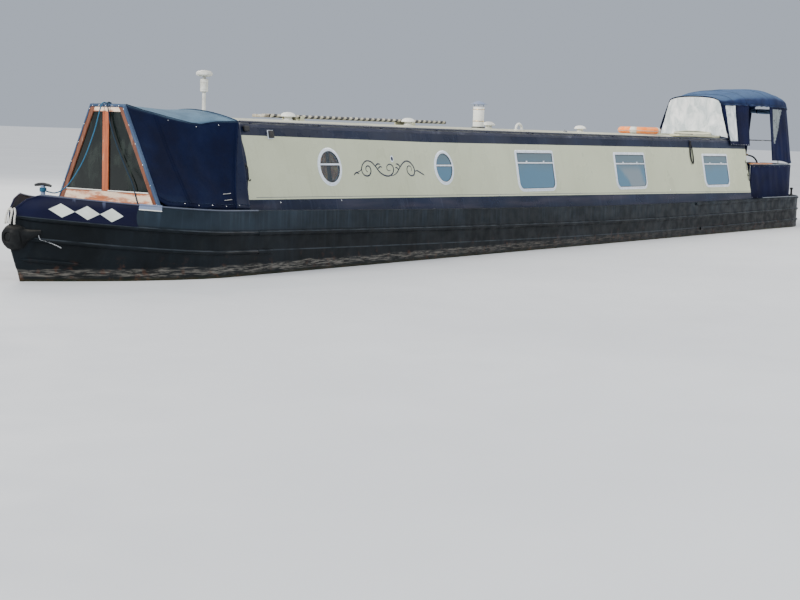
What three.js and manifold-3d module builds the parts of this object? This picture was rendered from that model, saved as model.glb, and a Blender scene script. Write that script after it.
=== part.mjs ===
// A steel narrowboat with a round cruiser stern, a canvas pram hood over the stern deck and a
// canvas cratch cover over the bow well. Millimetres. +X is the bow, +Y is port, +Z is up.
// The origin is on the centreline, under the baseplate, half way along the overall length.
import * as THREE from 'three';
import { mergeVertices } from 'three/addons/utils/BufferGeometryUtils.js';
import Module from 'manifold-3d';

const wasm = await Module();
wasm.setup();

// Driving dimensions
const GAP = 0.3;
const SEAT = 0.5;
const CLEAR = 6;
const END = 10165;
const HALF_BEAM = 1020;
const CHINE_HALF = 1005;
const WALL = 60;
const PLATE = 10;
const WATERLINE = 550;

const SHEER = { low: 1140, lowX: -3080, rise: 144, run: 10530, power: 1.6, sternRise: 25, sternRun: 5885 };
const BOW = { aftX: 7400, shoulderX: 7930, rise: 120, riseRun: 2000, stemHalf: 20, deckX: 8700, deckZ: 1300 };
const STERN = { startX: -8965, power: 2.3, bottomZ: 490, swimX: -5900, postX: -9290, postHalf: 30 };
const WELL = { floorZ: 720, thick: 30 };
const CABIN = { frontX: 7420, aftX: -7110, baseZ: 1250, baseY: 925, lean: 0.2, wall: 50, floorZ: 190 };
const ROOF = { edgeZ: 2245, frontRise: 20, camber: 62, thick: 50, joinX: -5600 };
const DECK = { z: 1130, thick: 30, inset: 70 };
const STRAKE = { proud: 22, height: 40, drop: 255 };
const STEER = { x: -9680, stock: 20, shaftZ: 250, shaft: 15 };

// Stem profile: height, forward reach
const STEM = [
  [0, 9810], [300, 9860], [550, 9930], [700, 10025], [875, 10090],
  [1175, 10122], [1290, 10118], [1400, 10085], [1500, 9975],
];

// Openings in each cabin side, from the bow aft: kind, centre x, centre z
const OPENINGS = [
  ['porthole', 5850, 1767],
  ['porthole', 3340, 1752],
  ['window', 885, 1703],
  ['window', -2200, 1692],
  ['window', -5630, 1688],
];
const PORTHOLE_RADIUS = 215;
const SMOOTH = { porthole: 12, window: 4 };
const WINDOW = { width: 1080, height: 570, topRound: 20, bottomRound: 90, flange: 18 };

// Materials: colour, roughness, metalness
const paint = (color, roughness, metalness = 0) =>
  new THREE.MeshStandardMaterial({ color, roughness, metalness });
const MATERIALS = {
  hull: paint(0x1c2228, 0.55),
  cream: paint(0xdedbc2, 0.4),
  navy: paint(0x1a1f4d, 0.4),
  timber: paint(0x8a4a2c, 0.6),
  canvas: paint(0x14264a, 0.9),
  glass: paint(0x2a3438, 0.1),
  aluminium: paint(0xc3d3df, 0.35, 0.8),
  steel: paint(0xb9bec2, 0.3, 0.9),
  rubber: paint(0x101010, 0.85),
  orange: paint(0xe26a2c, 0.6),
  rope: paint(0x2b5d7c, 0.9),
  darkRope: paint(0x17181a, 0.9),
  brass: paint(0xb08d3a, 0.35, 0.9),
};

const { lerp, clamp, degToRad } = THREE.MathUtils;
const SIDES = [['port', 1], ['starboard', -1]];

// Value at a from a table of [a, b] rows
function fromTable(rows, a) {
  const last = rows.findIndex((row) => row[0] >= a);
  if (last === -1) return rows[rows.length - 1][1];
  if (last === 0) return rows[0][1];
  const [a0, b0] = rows[last - 1];
  const [a1, b1] = rows[last];
  return lerp(b0, b1, (a - a0) / (a1 - a0));
}

// Closed solid from a geometry: shared corners merged, flat triangles dropped, faces out
function solid(geometry) {
  geometry.deleteAttribute('normal');
  geometry.deleteAttribute('uv');
  const merged = mergeVertices(geometry, 1e-3);
  const points = merged.attributes.position.array;
  const corners = merged.index.array;
  const kept = [];
  let volume = 0;
  const a = new THREE.Vector3();
  const b = new THREE.Vector3();
  const c = new THREE.Vector3();
  for (let i = 0; i < corners.length; i += 3) {
    const [p, q, r] = [corners[i], corners[i + 1], corners[i + 2]];
    if (p === q || q === r || r === p) continue;
    kept.push(p, q, r);
    a.fromArray(points, 3 * p);
    b.fromArray(points, 3 * q);
    c.fromArray(points, 3 * r);
    volume += a.dot(b.cross(c));
  }
  if (volume < 0) {
    for (let i = 0; i < kept.length; i += 3) [kept[i], kept[i + 1]] = [kept[i + 1], kept[i]];
  }
  return new wasm.Manifold(new wasm.Mesh({
    numProp: 3,
    vertProperties: new Float32Array(points),
    triVerts: new Uint32Array(kept),
  }));
}

const join = (first, ...rest) => rest.reduce((whole, next) => whole.add(next), first);
const cut = (first, ...rest) => rest.reduce((whole, next) => whole.subtract(next), first);
const common = (first, second) => first.intersect(second);

const group = new THREE.Group();
function piece(name, shape, material) {
  const mesh = shape.getMesh();
  const geometry = new THREE.BufferGeometry();
  geometry.setAttribute('position', new THREE.BufferAttribute(new Float32Array(mesh.vertProperties), 3));
  geometry.setIndex(new THREE.BufferAttribute(new Uint32Array(mesh.triVerts), 1));
  geometry.computeVertexNormals();
  const node = new THREE.Mesh(geometry, material);
  node.name = name;
  group.add(node);
}

const box = (x0, x1, y0, y1, z0, z1) => solid(
  new THREE.BoxGeometry(x1 - x0, y1 - y0, z1 - z0)
    .translate((x0 + x1) / 2, (y0 + y1) / 2, (z0 + z1) / 2));
const outline = (points) => new THREE.Shape(points.map(([u, v]) => new THREE.Vector2(u, v)));
const prism = (shape, depth, curveSegments = 4) =>
  new THREE.ExtrudeGeometry(shape, { depth, bevelEnabled: false, curveSegments });
// Outline in plan, between two heights
const upright = (points, z0, z1) => solid(prism(outline(points), z1 - z0).translate(0, 0, z0));
// Outline of [y, z] points, between two stations
const across = (points, x0, x1) => {
  const turn = new THREE.Matrix4().makeBasis(
    new THREE.Vector3(0, 1, 0), new THREE.Vector3(0, 0, 1), new THREE.Vector3(1, 0, 0));
  return solid(prism(outline(points), x1 - x0).applyMatrix4(turn).translate(x0, 0, 0));
};
// Round bar between two points
function bar(from, to, radius, sides = 12) {
  const start = new THREE.Vector3(...from);
  const run = new THREE.Vector3(...to).sub(start);
  const turn = new THREE.Quaternion().setFromUnitVectors(new THREE.Vector3(0, 1, 0), run.clone().normalize());
  const middle = start.addScaledVector(run, 0.5);
  return solid(new THREE.CylinderGeometry(radius, radius, run.length(), sides)
    .applyQuaternion(turn).translate(middle.x, middle.y, middle.z));
}
// Tube along a smooth line through points
function tube(points, radius, steps, sides = 8) {
  const path = new THREE.CatmullRomCurve3(points.map((p) => new THREE.Vector3(...p)), false, 'centripetal');
  const section = new THREE.Shape();
  for (let i = 0; i < sides; i += 1) {
    const angle = (2 * Math.PI * i) / sides;
    section[i ? 'lineTo' : 'moveTo'](radius * Math.cos(angle), radius * Math.sin(angle));
  }
  return solid(new THREE.ExtrudeGeometry(section, { steps, extrudePath: path, bevelEnabled: false }));
}
// Profile of [radius, height] points turned about a vertical axis
const turned = (profile, x, y, z, sides = 20) => solid(
  new THREE.LatheGeometry(profile.map(([r, h]) => new THREE.Vector2(r, h)), sides)
    .rotateX(Math.PI / 2).translate(x, y, z));
// The same profile turned about a line that points forward
const turnedForward = (profile, x, y, z, sides = 20) => solid(
  new THREE.LatheGeometry(profile.map(([r, h]) => new THREE.Vector2(r, h)), sides)
    .rotateZ(-Math.PI / 2).translate(x, y, z));

// Skin through rings of [x, y, z] points, closed at both ends by rungs that pair each point
// from the start of the ring with one from its end
function loft(rings) {
  const count = rings[0].length;
  const index = [];
  for (let r = 0; r + 1 < rings.length; r += 1) {
    for (let i = 0; i < count; i += 1) {
      const j = (i + 1) % count;
      const here = r * count;
      const next = here + count;
      index.push(here + i, here + j, next + j, here + i, next + j, next + i);
    }
  }
  const closeEnd = (first, turn) => {
    const face = (p, q, r) => index.push(first + p, ...(turn ? [first + r, first + q] : [first + q, first + r]));
    for (let i = 0, j = count - 1; j - i > 1; i += 1, j -= 1) {
      face(i, i + 1, j);
      if (j - i > 2) face(i + 1, j - 1, j);
    }
  };
  closeEnd(0, true);
  closeEnd((rings.length - 1) * count, false);
  const geometry = new THREE.BufferGeometry();
  geometry.setAttribute('position', new THREE.Float32BufferAttribute(rings.flat(2), 3));
  geometry.setIndex(index);
  return solid(geometry);
}

// Hull lines
const sheer = (x) => SHEER.low
  + SHEER.rise * Math.max(0, (x - SHEER.lowX) / SHEER.run) ** SHEER.power
  + BOW.rise * Math.max(0, (x - BOW.shoulderX) / BOW.riseRun) ** 1.5
  + SHEER.sternRise * clamp((SHEER.lowX - x) / SHEER.sternRun, 0, 1) ** 2;
const hullHalf = (z) => lerp(CHINE_HALF, HALF_BEAM, clamp(z / STERN.bottomZ, 0, 1));
const stemX = (z) => fromTable(STEM, z);
const bowFullness = (z) => 1.65 + 0.2 * clamp((z - WATERLINE) / 700, -0.5, 1);

// Point on the bow skin: t runs from the shoulder (0) to the stem (1); inset is measured
// square to the skin, so it grows with the slope of the plan
function bowPoint(t, z, inset) {
  if (t <= 0) return [lerp(BOW.shoulderX, BOW.aftX, -t), hullHalf(z) - inset, z];
  const run = stemX(z) - BOW.shoulderX;
  const reach = hullHalf(z) - BOW.stemHalf;
  const power = bowFullness(z);
  const half = BOW.stemHalf + reach * (1 - t ** power);
  const slope = (reach * power * t ** (power - 1)) / run;
  return [BOW.shoulderX + t * run, Math.max(half - inset * Math.hypot(1, slope), 4), z];
}
const bowSheer = (t) => sheer(t <= 0 ? bowPoint(t, 0, 0)[0] : lerp(BOW.shoulderX, 10080, t));
// The rim rounds down to the stem from its last eighth
const NOSE = { start: 0.87, drop: 200, power: 1.6 };
const bowTop = (t) => bowSheer(t) - NOSE.drop * clamp((t - NOSE.start) / (1 - NOSE.start), 0, 1) ** NOSE.power;
// Both sides of the bow between two heights; a missing top height follows the sheer
function bowBody(stations, inset, z0, z1, levels = 8) {
  return loft(stations.map((t) => {
    const top = z1 ?? bowTop(t);
    const heights = Array.from({ length: levels + 1 }, (_, i) => lerp(top, z0, i / levels));
    const port = heights.map((z) => bowPoint(t, z, inset));
    return [...port, ...port.map(([x, y, z]) => [x, -y, z]).reverse()];
  }));
}
// Rubbing strake on the bow, drop below the sheer
const bowStrake = (side, drop, stations) => loft(stations.map((t) => {
  const z = bowSheer(t) - drop;
  const half = STRAKE.height / 2;
  return [[half + 8, 6], [half, -STRAKE.proud], [-half, -STRAKE.proud], [-half - 8, 6]]
    .map(([dz, inset]) => bowPoint(t, z + dz, inset))
    .map(([x, y, h]) => [x, side * y, h]);
}));

const BOW_STATIONS = [-1, 0, 0.15, 0.3, 0.45, 0.6, 0.74, 0.86, 0.92, 0.96, 1];
const CORE_STATIONS = [-1.2, 0, 0.15, 0.3, 0.45, 0.6, 0.74, 0.84, 0.92];
const FAR = 12000;
// Hollow inside the bow, in three parts, drawn gap further in for what stands inside it
const LEDGE_Z = BOW.deckZ - WELL.thick - GAP;
const below = (gap) => bowBody(CORE_STATIONS, WALL + gap, -20, LEDGE_Z, 6);
const aroundWell = (gap) => bowBody(CORE_STATIONS, WALL + gap, LEDGE_Z - 20, 1700, 2);
const aboveDeck = (gap) => bowBody(CORE_STATIONS, 12 + gap, LEDGE_Z, 1700, 2);
const ahead = (x) => box(x, FAR, -FAR, FAR, 0, FAR);
const between = (x0, x1, z0, z1) => box(x0, x1, -FAR, FAR, z0, z1);
function bowHull() {
  const strakes = SIDES.flatMap(([, side]) => [
    bowStrake(side, STRAKE.drop, BOW_STATIONS),
    bowStrake(side, STRAKE.drop + 215, BOW_STATIONS),
    bowStrake(side, STRAKE.drop + 430, BOW_STATIONS.filter((t) => t >= 0.74)),
  ]);
  return cut(join(bowBody(BOW_STATIONS, 0, PLATE + GAP), ...strakes), below(0),
    common(aroundWell(0), between(7000, BOW.deckX + 42, 0, FAR)),
    common(aboveDeck(0), ahead(BOW.deckX + 39)));
}
piece('bow_hull', bowHull(), MATERIALS.hull);

// Foredeck with the bulkhead under its aft edge, and the locker lid on its starboard half
const LOCKER = { x0: 8960, x1: 9360, y0: -430, y1: -70, lip: 14, lid: 12, barrel: 9, z: BOW.deckZ + 21 };
function foredeck() {
  const deck = common(aboveDeck(GAP), between(BOW.deckX + 40 + GAP, FAR, BOW.deckZ - WELL.thick, BOW.deckZ));
  const bulkhead = common(join(below(2 * GAP), aroundWell(2 * GAP)),
    between(BOW.deckX, BOW.deckX + 41 + GAP, WELL.floorZ + GAP, BOW.deckZ));
  const { x0, x1, y0, y1, lip, barrel, z } = LOCKER;
  const coaming = box(x0 - lip, x1 + lip, y0 - lip, y1 + lip, BOW.deckZ - 5, BOW.deckZ + 6);
  const lugs = [x0 + 20, x1 - 20].map((x, end) => {
    const [near, far] = end ? [x + SEAT, x + 20] : [x - 20, x - SEAT];
    return join(bar([near, y0 - 30, z], [far, y0 - 30, z], barrel),
      box(near, far, y0 - 30 - barrel, y0 - 30 + barrel, BOW.deckZ - 5, z));
  });
  return cut(join(deck, bulkhead, coaming, ...lugs), box(x0, x1, y0, y1, 1000, 1500));
}
piece('foredeck', foredeck(), MATERIALS.navy);

function lockerLid() {
  const { x0, x1, y0, y1, lid, barrel, z } = LOCKER;
  const top = BOW.deckZ + 6 + CLEAR;
  const panel = box(x0 - 10, x1 + 10, y0 - 12, y1 + 12, top, top + lid);
  const leaf = box(x0 + 20, x1 - 20, y0 - 30, y0, z - 5, z + 5);
  return join(panel, leaf, bar([x0 + 20, y0 - 30, z], [x1 - 20, y0 - 30, z], barrel));
}
piece('locker_lid', lockerLid(), MATERIALS.navy);

piece('well_deck', common(below(GAP),
  between(CABIN.frontX + GAP, BOW.deckX + 40, WELL.floorZ - WELL.thick, WELL.floorZ)), MATERIALS.navy);

// Hull sides, parallel from the bow section back to the round stern
const stations = (x0, x1, count) => Array.from({ length: count + 1 }, (_, i) => lerp(x0, x1, i / count));
const sideStrake = (side, drop, x0, x1) => loft(stations(x0, x1, 8).map((x) => {
  const half = STRAKE.height / 2;
  return [[half + 8, 6], [half, -STRAKE.proud], [-half, -STRAKE.proud], [-half - 8, 6]]
    .map(([dz, inset]) => [x, side * (hullHalf(sheer(x) - drop) - inset), sheer(x) - drop + dz]);
}));
function hullSide(side) {
  const front = BOW.aftX - GAP;
  const skin = (x0, x1, count, section) => loft(stations(x0, x1, count)
    .map((x) => section(sheer(x)).map(([y, z]) => [x, side * y, z])));
  const upper = skin(CABIN.aftX - 1, front, 8, (top) => [
    [860, top], [HALF_BEAM, top], [HALF_BEAM, STERN.bottomZ], [HALF_BEAM - WALL, STERN.bottomZ],
    [HALF_BEAM - WALL, top - 25], [860, top - 25],
  ]);
  const aft = skin(STERN.startX, CABIN.aftX, 3, (top) => [
    [HALF_BEAM, top], [HALF_BEAM, STERN.bottomZ],
    [HALF_BEAM - DECK.inset, STERN.bottomZ], [HALF_BEAM - DECK.inset, top],
  ]);
  const lower = skin(STERN.swimX, front, 1, () => [
    [HALF_BEAM, STERN.bottomZ], [hullHalf(PLATE), PLATE + GAP],
    [hullHalf(PLATE) - WALL, PLATE + GAP], [HALF_BEAM - WALL, STERN.bottomZ],
  ]);
  return join(upper, aft, lower,
    sideStrake(side, STRAKE.drop, STERN.startX, front),
    sideStrake(side, STRAKE.drop + 215, STERN.startX, -4650),
    sideStrake(side, STRAKE.height / 2 + 10, STERN.startX, -4410),
    sideStrake(side, STRAKE.drop + 215, 7150, front));
}
for (const [name, side] of SIDES) piece(`hull_side_${name}`, hullSide(side), MATERIALS.hull);

// Round stern in plan, from the port corner round to the starboard corner
function sternArc(inset, count = 16) {
  const length = END - STRAKE.proud + STERN.startX - inset;
  return Array.from({ length: count + 1 }, (_, i) => {
    const angle = (Math.PI * i) / count;
    const power = 2 / STERN.power;
    const y = Math.sign(Math.cos(angle)) * Math.abs(Math.cos(angle)) ** power;
    return [STERN.startX - length * Math.sin(angle) ** power, (HALF_BEAM - inset) * (Math.abs(y) < 1e-9 ? 0 : y)];
  });
}
const sternEdge = (inset, frontX) => [
  [frontX, HALF_BEAM - inset], ...sternArc(inset).filter(([x]) => x < frontX - 1), [frontX, inset - HALF_BEAM],
];
const sternWall = (outer, inner, frontX) => [...sternEdge(outer, frontX), ...sternEdge(inner, frontX).reverse()];

// Underwater taper to the stern post: half breadth of the swim
function swimHalf(x, inset) {
  const t = clamp((STERN.swimX - x) / (STERN.swimX - STERN.postX), 0, 1);
  const fall = CHINE_HALF - STERN.postHalf;
  const slope = (6 * t * (1 - t) * fall) / (STERN.swimX - STERN.postX);
  return CHINE_HALF - fall * t * t * (3 - 2 * t) - inset * Math.hypot(1, slope);
}
function swimPlan(inset, frontX, aftX) {
  const port = stations(frontX, aftX, 12).map((x) => [x, Math.max(swimHalf(x, inset), 6)]);
  return [...port, ...port.map(([x, y]) => [x, -y]).reverse()];
}
const shaftBore = bar([-9400, 0, STEER.shaftZ], [-9100, 0, STEER.shaftZ], STEER.shaft + SEAT, 24);
piece('stern_swim', cut(
  join(upright(swimPlan(0, STERN.swimX - GAP, STERN.postX), PLATE + GAP, STERN.bottomZ - GAP),
    bar([-9340, 0, STEER.shaftZ], [-9150, 0, STEER.shaftZ], 42, 24)),
  upright(swimPlan(WALL, STERN.swimX + 100, -9120), 0, 600), shaftBore), MATERIALS.hull);

function sternCounter() {
  const top = SHEER.low + SHEER.sternRise;
  const wall = upright(sternWall(0, DECK.inset, STERN.startX - GAP), STERN.bottomZ, top);
  const strake = (drop) => {
    const z = top - drop;
    return upright(sternWall(-STRAKE.proud, 6, STERN.startX - GAP), z - STRAKE.height / 2, z + STRAKE.height / 2);
  };
  const floor = join(
    upright(sternEdge(DECK.inset - 5, STERN.startX - GAP), STERN.bottomZ, STERN.bottomZ + PLATE),
    box(STERN.startX - 5, STERN.swimX, WALL - HALF_BEAM + 16, HALF_BEAM - WALL - 16, STERN.bottomZ, STERN.bottomZ + PLATE));
  const inside = upright(swimPlan(WALL, STERN.swimX + 100, -9120), 0, 600);
  const rudderTube = bar([STEER.x, 0, STERN.bottomZ], [STEER.x, 0, DECK.z - DECK.thick - GAP], 38, 24);
  const bore = bar([STEER.x, 0, 0], [STEER.x, 0, 2000], STEER.stock + SEAT, 24);
  return cut(join(wall, strake(STRAKE.height / 2 + 10), strake(STRAKE.drop), strake(STRAKE.drop + 215),
    cut(floor, inside), rudderTube), bore);
}
piece('stern_counter', sternCounter(), MATERIALS.hull);

// Baseplate, with the skeg that carries the foot of the rudder
function baseplate() {
  const bowEdge = [0, 0.15, 0.3, 0.45, 0.6, 0.74, 0.86, 0.95, 1].map((t) => bowPoint(t, PLATE, -6).slice(0, 2));
  const port = [...stations(STERN.postX, STERN.swimX, 12).map((x) => [x, swimHalf(x, 0) + 6]), ...bowEdge];
  const plate = upright([...port, ...port.map(([x, y]) => [x, -y]).reverse()], 0, PLATE);
  const skeg = box(-9740, STERN.postX + 100, -45, 45, 0, PLATE);
  const cup = bar([STEER.x, 0, 0], [STEER.x, 0, 45], 30, 24);
  return cut(join(plate, skeg, cup), bar([STEER.x, 0, 20], [STEER.x, 0, 60], 14 + SEAT, 24));
}
piece('baseplate', baseplate(), MATERIALS.hull);

piece('cabin_floor', box(STERN.swimX + 100, CABIN.frontX - CABIN.wall - GAP, -930, 930, PLATE + GAP, CABIN.floorZ),
  MATERIALS.timber);
piece('engine_block', box(-7900, -7250, -250, 250, PLATE + GAP, 760), MATERIALS.hull);

// Stern deck, with the board that lifts out over the engine
const BOARD = { x0: -8600, x1: -7450, half: 420 };
function sternDeck() {
  const plate = upright(sternEdge(DECK.inset + GAP, CABIN.aftX - 1), DECK.z - DECK.thick, DECK.z);
  const hole = box(BOARD.x0, BOARD.x1, -BOARD.half, BOARD.half, 1000, 1300);
  const ledge = cut(
    box(BOARD.x0 - 30, BOARD.x1 + 30, -BOARD.half - 30, BOARD.half + 30, DECK.z - 60, DECK.z - DECK.thick + 5),
    box(BOARD.x0 + 30, BOARD.x1 - 30, 30 - BOARD.half, BOARD.half - 30, 900, 1300));
  return cut(join(cut(plate, hole), ledge), bar([STEER.x, 0, 900], [STEER.x, 0, 1300], STEER.stock + CLEAR, 24));
}
piece('stern_deck', sternDeck(), MATERIALS.timber);
piece('engine_board', box(BOARD.x0 + 1, BOARD.x1 - 1, 1 - BOARD.half, BOARD.half - 1,
  DECK.z - DECK.thick + 5 + GAP, DECK.z), MATERIALS.timber);

// Cabin: sides lean in, the roof is cambered
const sideY = (z) => CABIN.baseY - CABIN.lean * (z - CABIN.baseZ);
const roofEdge = (x) => ROOF.edgeZ + ROOF.frontRise * Math.max(0, x / CABIN.frontX) ** 2;
const roofZ = (x, y) => roofEdge(x) + ROOF.camber * (1 - (y / sideY(roofEdge(x))) ** 2);

// Frame of an opening in a cabin side: right is aft on the port side, out is square to the wall
function onSide(side, x, z) {
  const tilt = Math.atan(CABIN.lean);
  const right = new THREE.Vector3(-side, 0, 0);
  const up = new THREE.Vector3(0, -side * Math.sin(tilt), Math.cos(tilt));
  const out = new THREE.Vector3(0, side * Math.cos(tilt), Math.sin(tilt));
  return new THREE.Matrix4().makeBasis(right, up, out).setPosition(x, side * sideY(z), z);
}
function windowShape(grow) {
  const w = WINDOW.width / 2 + grow;
  const h = WINDOW.height / 2 + grow;
  const [r, s] = [WINDOW.topRound + grow, WINDOW.bottomRound + grow];
  return new THREE.Shape()
    .moveTo(-w, h - r).absarc(-w + r, h - r, r, Math.PI, Math.PI / 2, true)
    .absarc(w - r, h - r, r, Math.PI / 2, 0, true)
    .absarc(w - s, -h + s, s, 0, -Math.PI / 2, true)
    .absarc(-w + s, -h + s, s, -Math.PI / 2, -Math.PI, true);
}
const roundShape = (grow) => new THREE.Shape().absarc(0, 0, PORTHOLE_RADIUS + grow, 0, 2 * Math.PI, false);
const openingShape = (kind, grow) => (kind === 'window' ? windowShape(grow) : roundShape(grow));
const slab = (shape, z0, z1, place, smooth = 4) =>
  solid(prism(shape, z1 - z0, smooth).translate(0, 0, z0).applyMatrix4(place));

function cabinSide(side) {
  const wall = loft(stations(CABIN.aftX, CABIN.frontX, 8).map((x) => {
    const bottom = sheer(x) + GAP;
    const top = roofEdge(x) - ROOF.thick - GAP;
    return [
      [sideY(bottom), bottom], [sideY(top), top], [sideY(top) - CABIN.wall, top],
      [sideY(bottom) - CABIN.wall, bottom],
    ].map(([y, z]) => [x, side * y, z]);
  }));
  return cut(wall, ...OPENINGS.map(([kind, x, z]) => slab(openingShape(kind, 0), -90, 30, onSide(side, x, z), SMOOTH[kind])));
}
for (const [name, side] of SIDES) {
  piece(`cabin_side_${name}`, cabinSide(side), MATERIALS.cream);
  const counts = { porthole: 0, window: 0 };
  for (const [kind, x, z] of OPENINGS) {
    counts[kind] += 1;
    const place = onSide(side, x, z);
    const flange = slab(openingShape(kind, WINDOW.flange), GAP, 7, place, SMOOTH[kind]);
    const pane = slab(openingShape(kind, -1), -14, 5, place, SMOOTH[kind]);
    piece(`${kind}_${name}_${counts[kind]}`, join(flange, pane), MATERIALS.aluminium);
  }
}

const HATCH = { x0: -7135, x1: -6330, half: 380, travel: 700, railZ: 42, rise: 70 };
const hatchOpening = { x0: CABIN.aftX - 50, x1: -6400, half: 330 };
// Roof plate between two stations
const roofPlate = (x0, x1, count) => loft(stations(x0, x1, count).map((x) => {
  const half = sideY(roofEdge(x));
  const ys = stations(half, -half, 8);
  return [...ys.map((y) => [x, y, roofZ(x, y)]), ...ys.reverse().map((y) => [x, y, roofZ(x, y) - ROOF.thick])];
}));
piece('cabin_roof', roofPlate(ROOF.joinX + GAP, CABIN.frontX, 7), MATERIALS.cream);

// Aft end of the roof, with the hatch's opening and the rails it slides on
function roofAft() {
  const rails = SIDES.map(([, side]) => {
    const [y0, y1] = [side * 352, side * 372].sort((p, q) => p - q);
    return box(CABIN.aftX, HATCH.x1 + HATCH.travel + 20, y0, y1, roofZ(0, 365) - 30, roofZ(0, 352) + HATCH.railZ);
  });
  return cut(join(roofPlate(CABIN.aftX, ROOF.joinX, 1), ...rails),
    box(hatchOpening.x0, hatchOpening.x1, -hatchOpening.half, hatchOpening.half, 2000, 2500));
}
piece('cabin_roof_aft', roofAft(), MATERIALS.cream);

function slidingHatch() {
  const { x0, x1, half, railZ, rise } = HATCH;
  const base = roofZ(0, 352) + railZ + SEAT;
  const top = (y) => base + rise - 45 * (y / half) ** 2;
  const ys = stations(half, -half, 6);
  const lid = across([...ys.map((y) => [y, top(y)]), ...ys.reverse().map((y) => [y, top(y) - 22])], x0, x1);
  const runners = SIDES.map(([, side]) => {
    const [y0, y1] = [side * 350, side * half].sort((p, q) => p - q);
    return box(x0, x1, y0, y1, base, base + 20);
  });
  return join(lid, ...runners);
}
piece('sliding_hatch', slidingHatch(), MATERIALS.cream);

// Double doors in a cabin end. out is +1 where the doors swing forward and -1 where they swing aft
const DOOR = { half: 330, thick: 35, barrel: 8, reach: 13, strap: 45 };
const FRONT_END = { name: 'front', out: 1, faceX: CABIN.frontX, sill: WELL.floorZ + 60, head: 2110, footZ: PLATE };
const REAR_END = { name: 'rear', out: -1, faceX: CABIN.aftX, sill: DECK.z + 50, head: 2190, footZ: STERN.bottomZ + PLATE };
const span = (a, b) => [Math.min(a, b), Math.max(a, b)];

function bulkhead({ out, faceX, sill, head, footZ }) {
  const [x0, x1] = span(faceX, faceX - out * CABIN.wall);
  const inner = (z) => sideY(z) - CABIN.wall - 1;
  const top = roofEdge(faceX) - ROOF.thick + 12;
  const low = sheer(faceX);
  const ys = stations(inner(top), -inner(top), 8);
  const wall = across([
    [-inner(low), low + GAP], [-859, low + GAP], [-859, low - 30], [-930, low - 30], [-930, footZ + GAP],
    [930, footZ + GAP], [930, low - 30], [859, low - 30], [859, low + GAP], [inner(low), low + GAP],
    ...ys.map((y) => [y, roofZ(faceX, y) - ROOF.thick - 1]),
  ], x0, x1);
  const lugs = SIDES.flatMap(([, side]) => [sill + 60, head - 60].map((z, end) => {
    const [z0, z1] = end ? [z + SEAT, z + 22] : [z - 22, z - SEAT];
    const axisX = faceX + out * DOOR.reach;
    const axisY = side * (DOOR.half + 5);
    const [lx0, lx1] = span(faceX - out * 5, axisX);
    return join(bar([axisX, axisY, z0], [axisX, axisY, z1], DOOR.barrel),
      box(lx0, lx1, axisY - DOOR.barrel, axisY + DOOR.barrel, z0, z1));
  }));
  return cut(join(wall, ...lugs), box(x0 - 1, x1 + 1, -DOOR.half, DOOR.half, sill, head));
}
function door({ out, faceX, sill, head }, side) {
  const [x0, x1] = span(faceX, faceX - out * DOOR.thick);
  const [y0, y1] = span(side * 3, side * (DOOR.half - 5));
  const leaf = box(x0, x1, y0, y1, sill + CLEAR, head - CLEAR);
  const axisX = faceX + out * DOOR.reach;
  const axisY = side * (DOOR.half + 5);
  const [bottom, top] = [sill + 60, head - 60];
  const [sx0, sx1] = span(axisX - out * 6, axisX + out * 4);
  const [sy0, sy1] = span(axisY, axisY - side * DOOR.strap);
  const [jx0, jx1] = span(faceX - out * 2, axisX + out * 4);
  const [jy0, jy1] = span(side * (DOOR.half - 8), axisY - side * DOOR.strap);
  return join(leaf, bar([axisX, axisY, bottom], [axisX, axisY, top], DOOR.barrel),
    box(sx0, sx1, sy0, sy1, bottom, top), box(jx0, jx1, jy0, jy1, bottom, top));
}
for (const end of [FRONT_END, REAR_END]) {
  piece(`${end.name}_bulkhead`, bulkhead(end), end.name === 'front' ? MATERIALS.navy : MATERIALS.cream);
  for (const [name, side] of SIDES) piece(`${end.name}_door_${name}`, door(end, side), MATERIALS.timber);
}

// Cratch board: glazed triangle across the aft edge of the foredeck
const CRATCH = { x0: 8757, x1: 8792, topZ: 2410, baseZ: BOW.deckZ + GAP, topHalf: 255, baseHalf: 820, rail: 62 };
const cratchHalf = (z) => lerp(CRATCH.baseHalf, CRATCH.topHalf, (z - CRATCH.baseZ) / (CRATCH.topZ - CRATCH.baseZ));
function cratchPane(side, grow) {
  const low = CRATCH.baseZ + 175 - grow;
  const high = CRATCH.topZ - 70 + grow;
  const inner = 32 - grow;
  const edge = (z) => cratchHalf(z) - CRATCH.rail + grow;
  return [[inner, low], [edge(low), low], [edge(high), high], [inner, high]].map(([y, z]) => [side * y, z]);
}
const cratchFrame = across([
  [-CRATCH.baseHalf, CRATCH.baseZ], [CRATCH.baseHalf, CRATCH.baseZ],
  [CRATCH.topHalf, CRATCH.topZ], [-CRATCH.topHalf, CRATCH.topZ],
], CRATCH.x0, CRATCH.x1);
piece('cratch_board', cut(cratchFrame,
  ...SIDES.map(([, side]) => across(cratchPane(side, 0), CRATCH.x0 - 5, CRATCH.x1 + 5))), MATERIALS.timber);
for (const [name, side] of SIDES) {
  piece(`cratch_glass_${name}`, across(cratchPane(side, -GAP), CRATCH.x0 + 14, CRATCH.x0 + 20), MATERIALS.glass);
}

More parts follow.
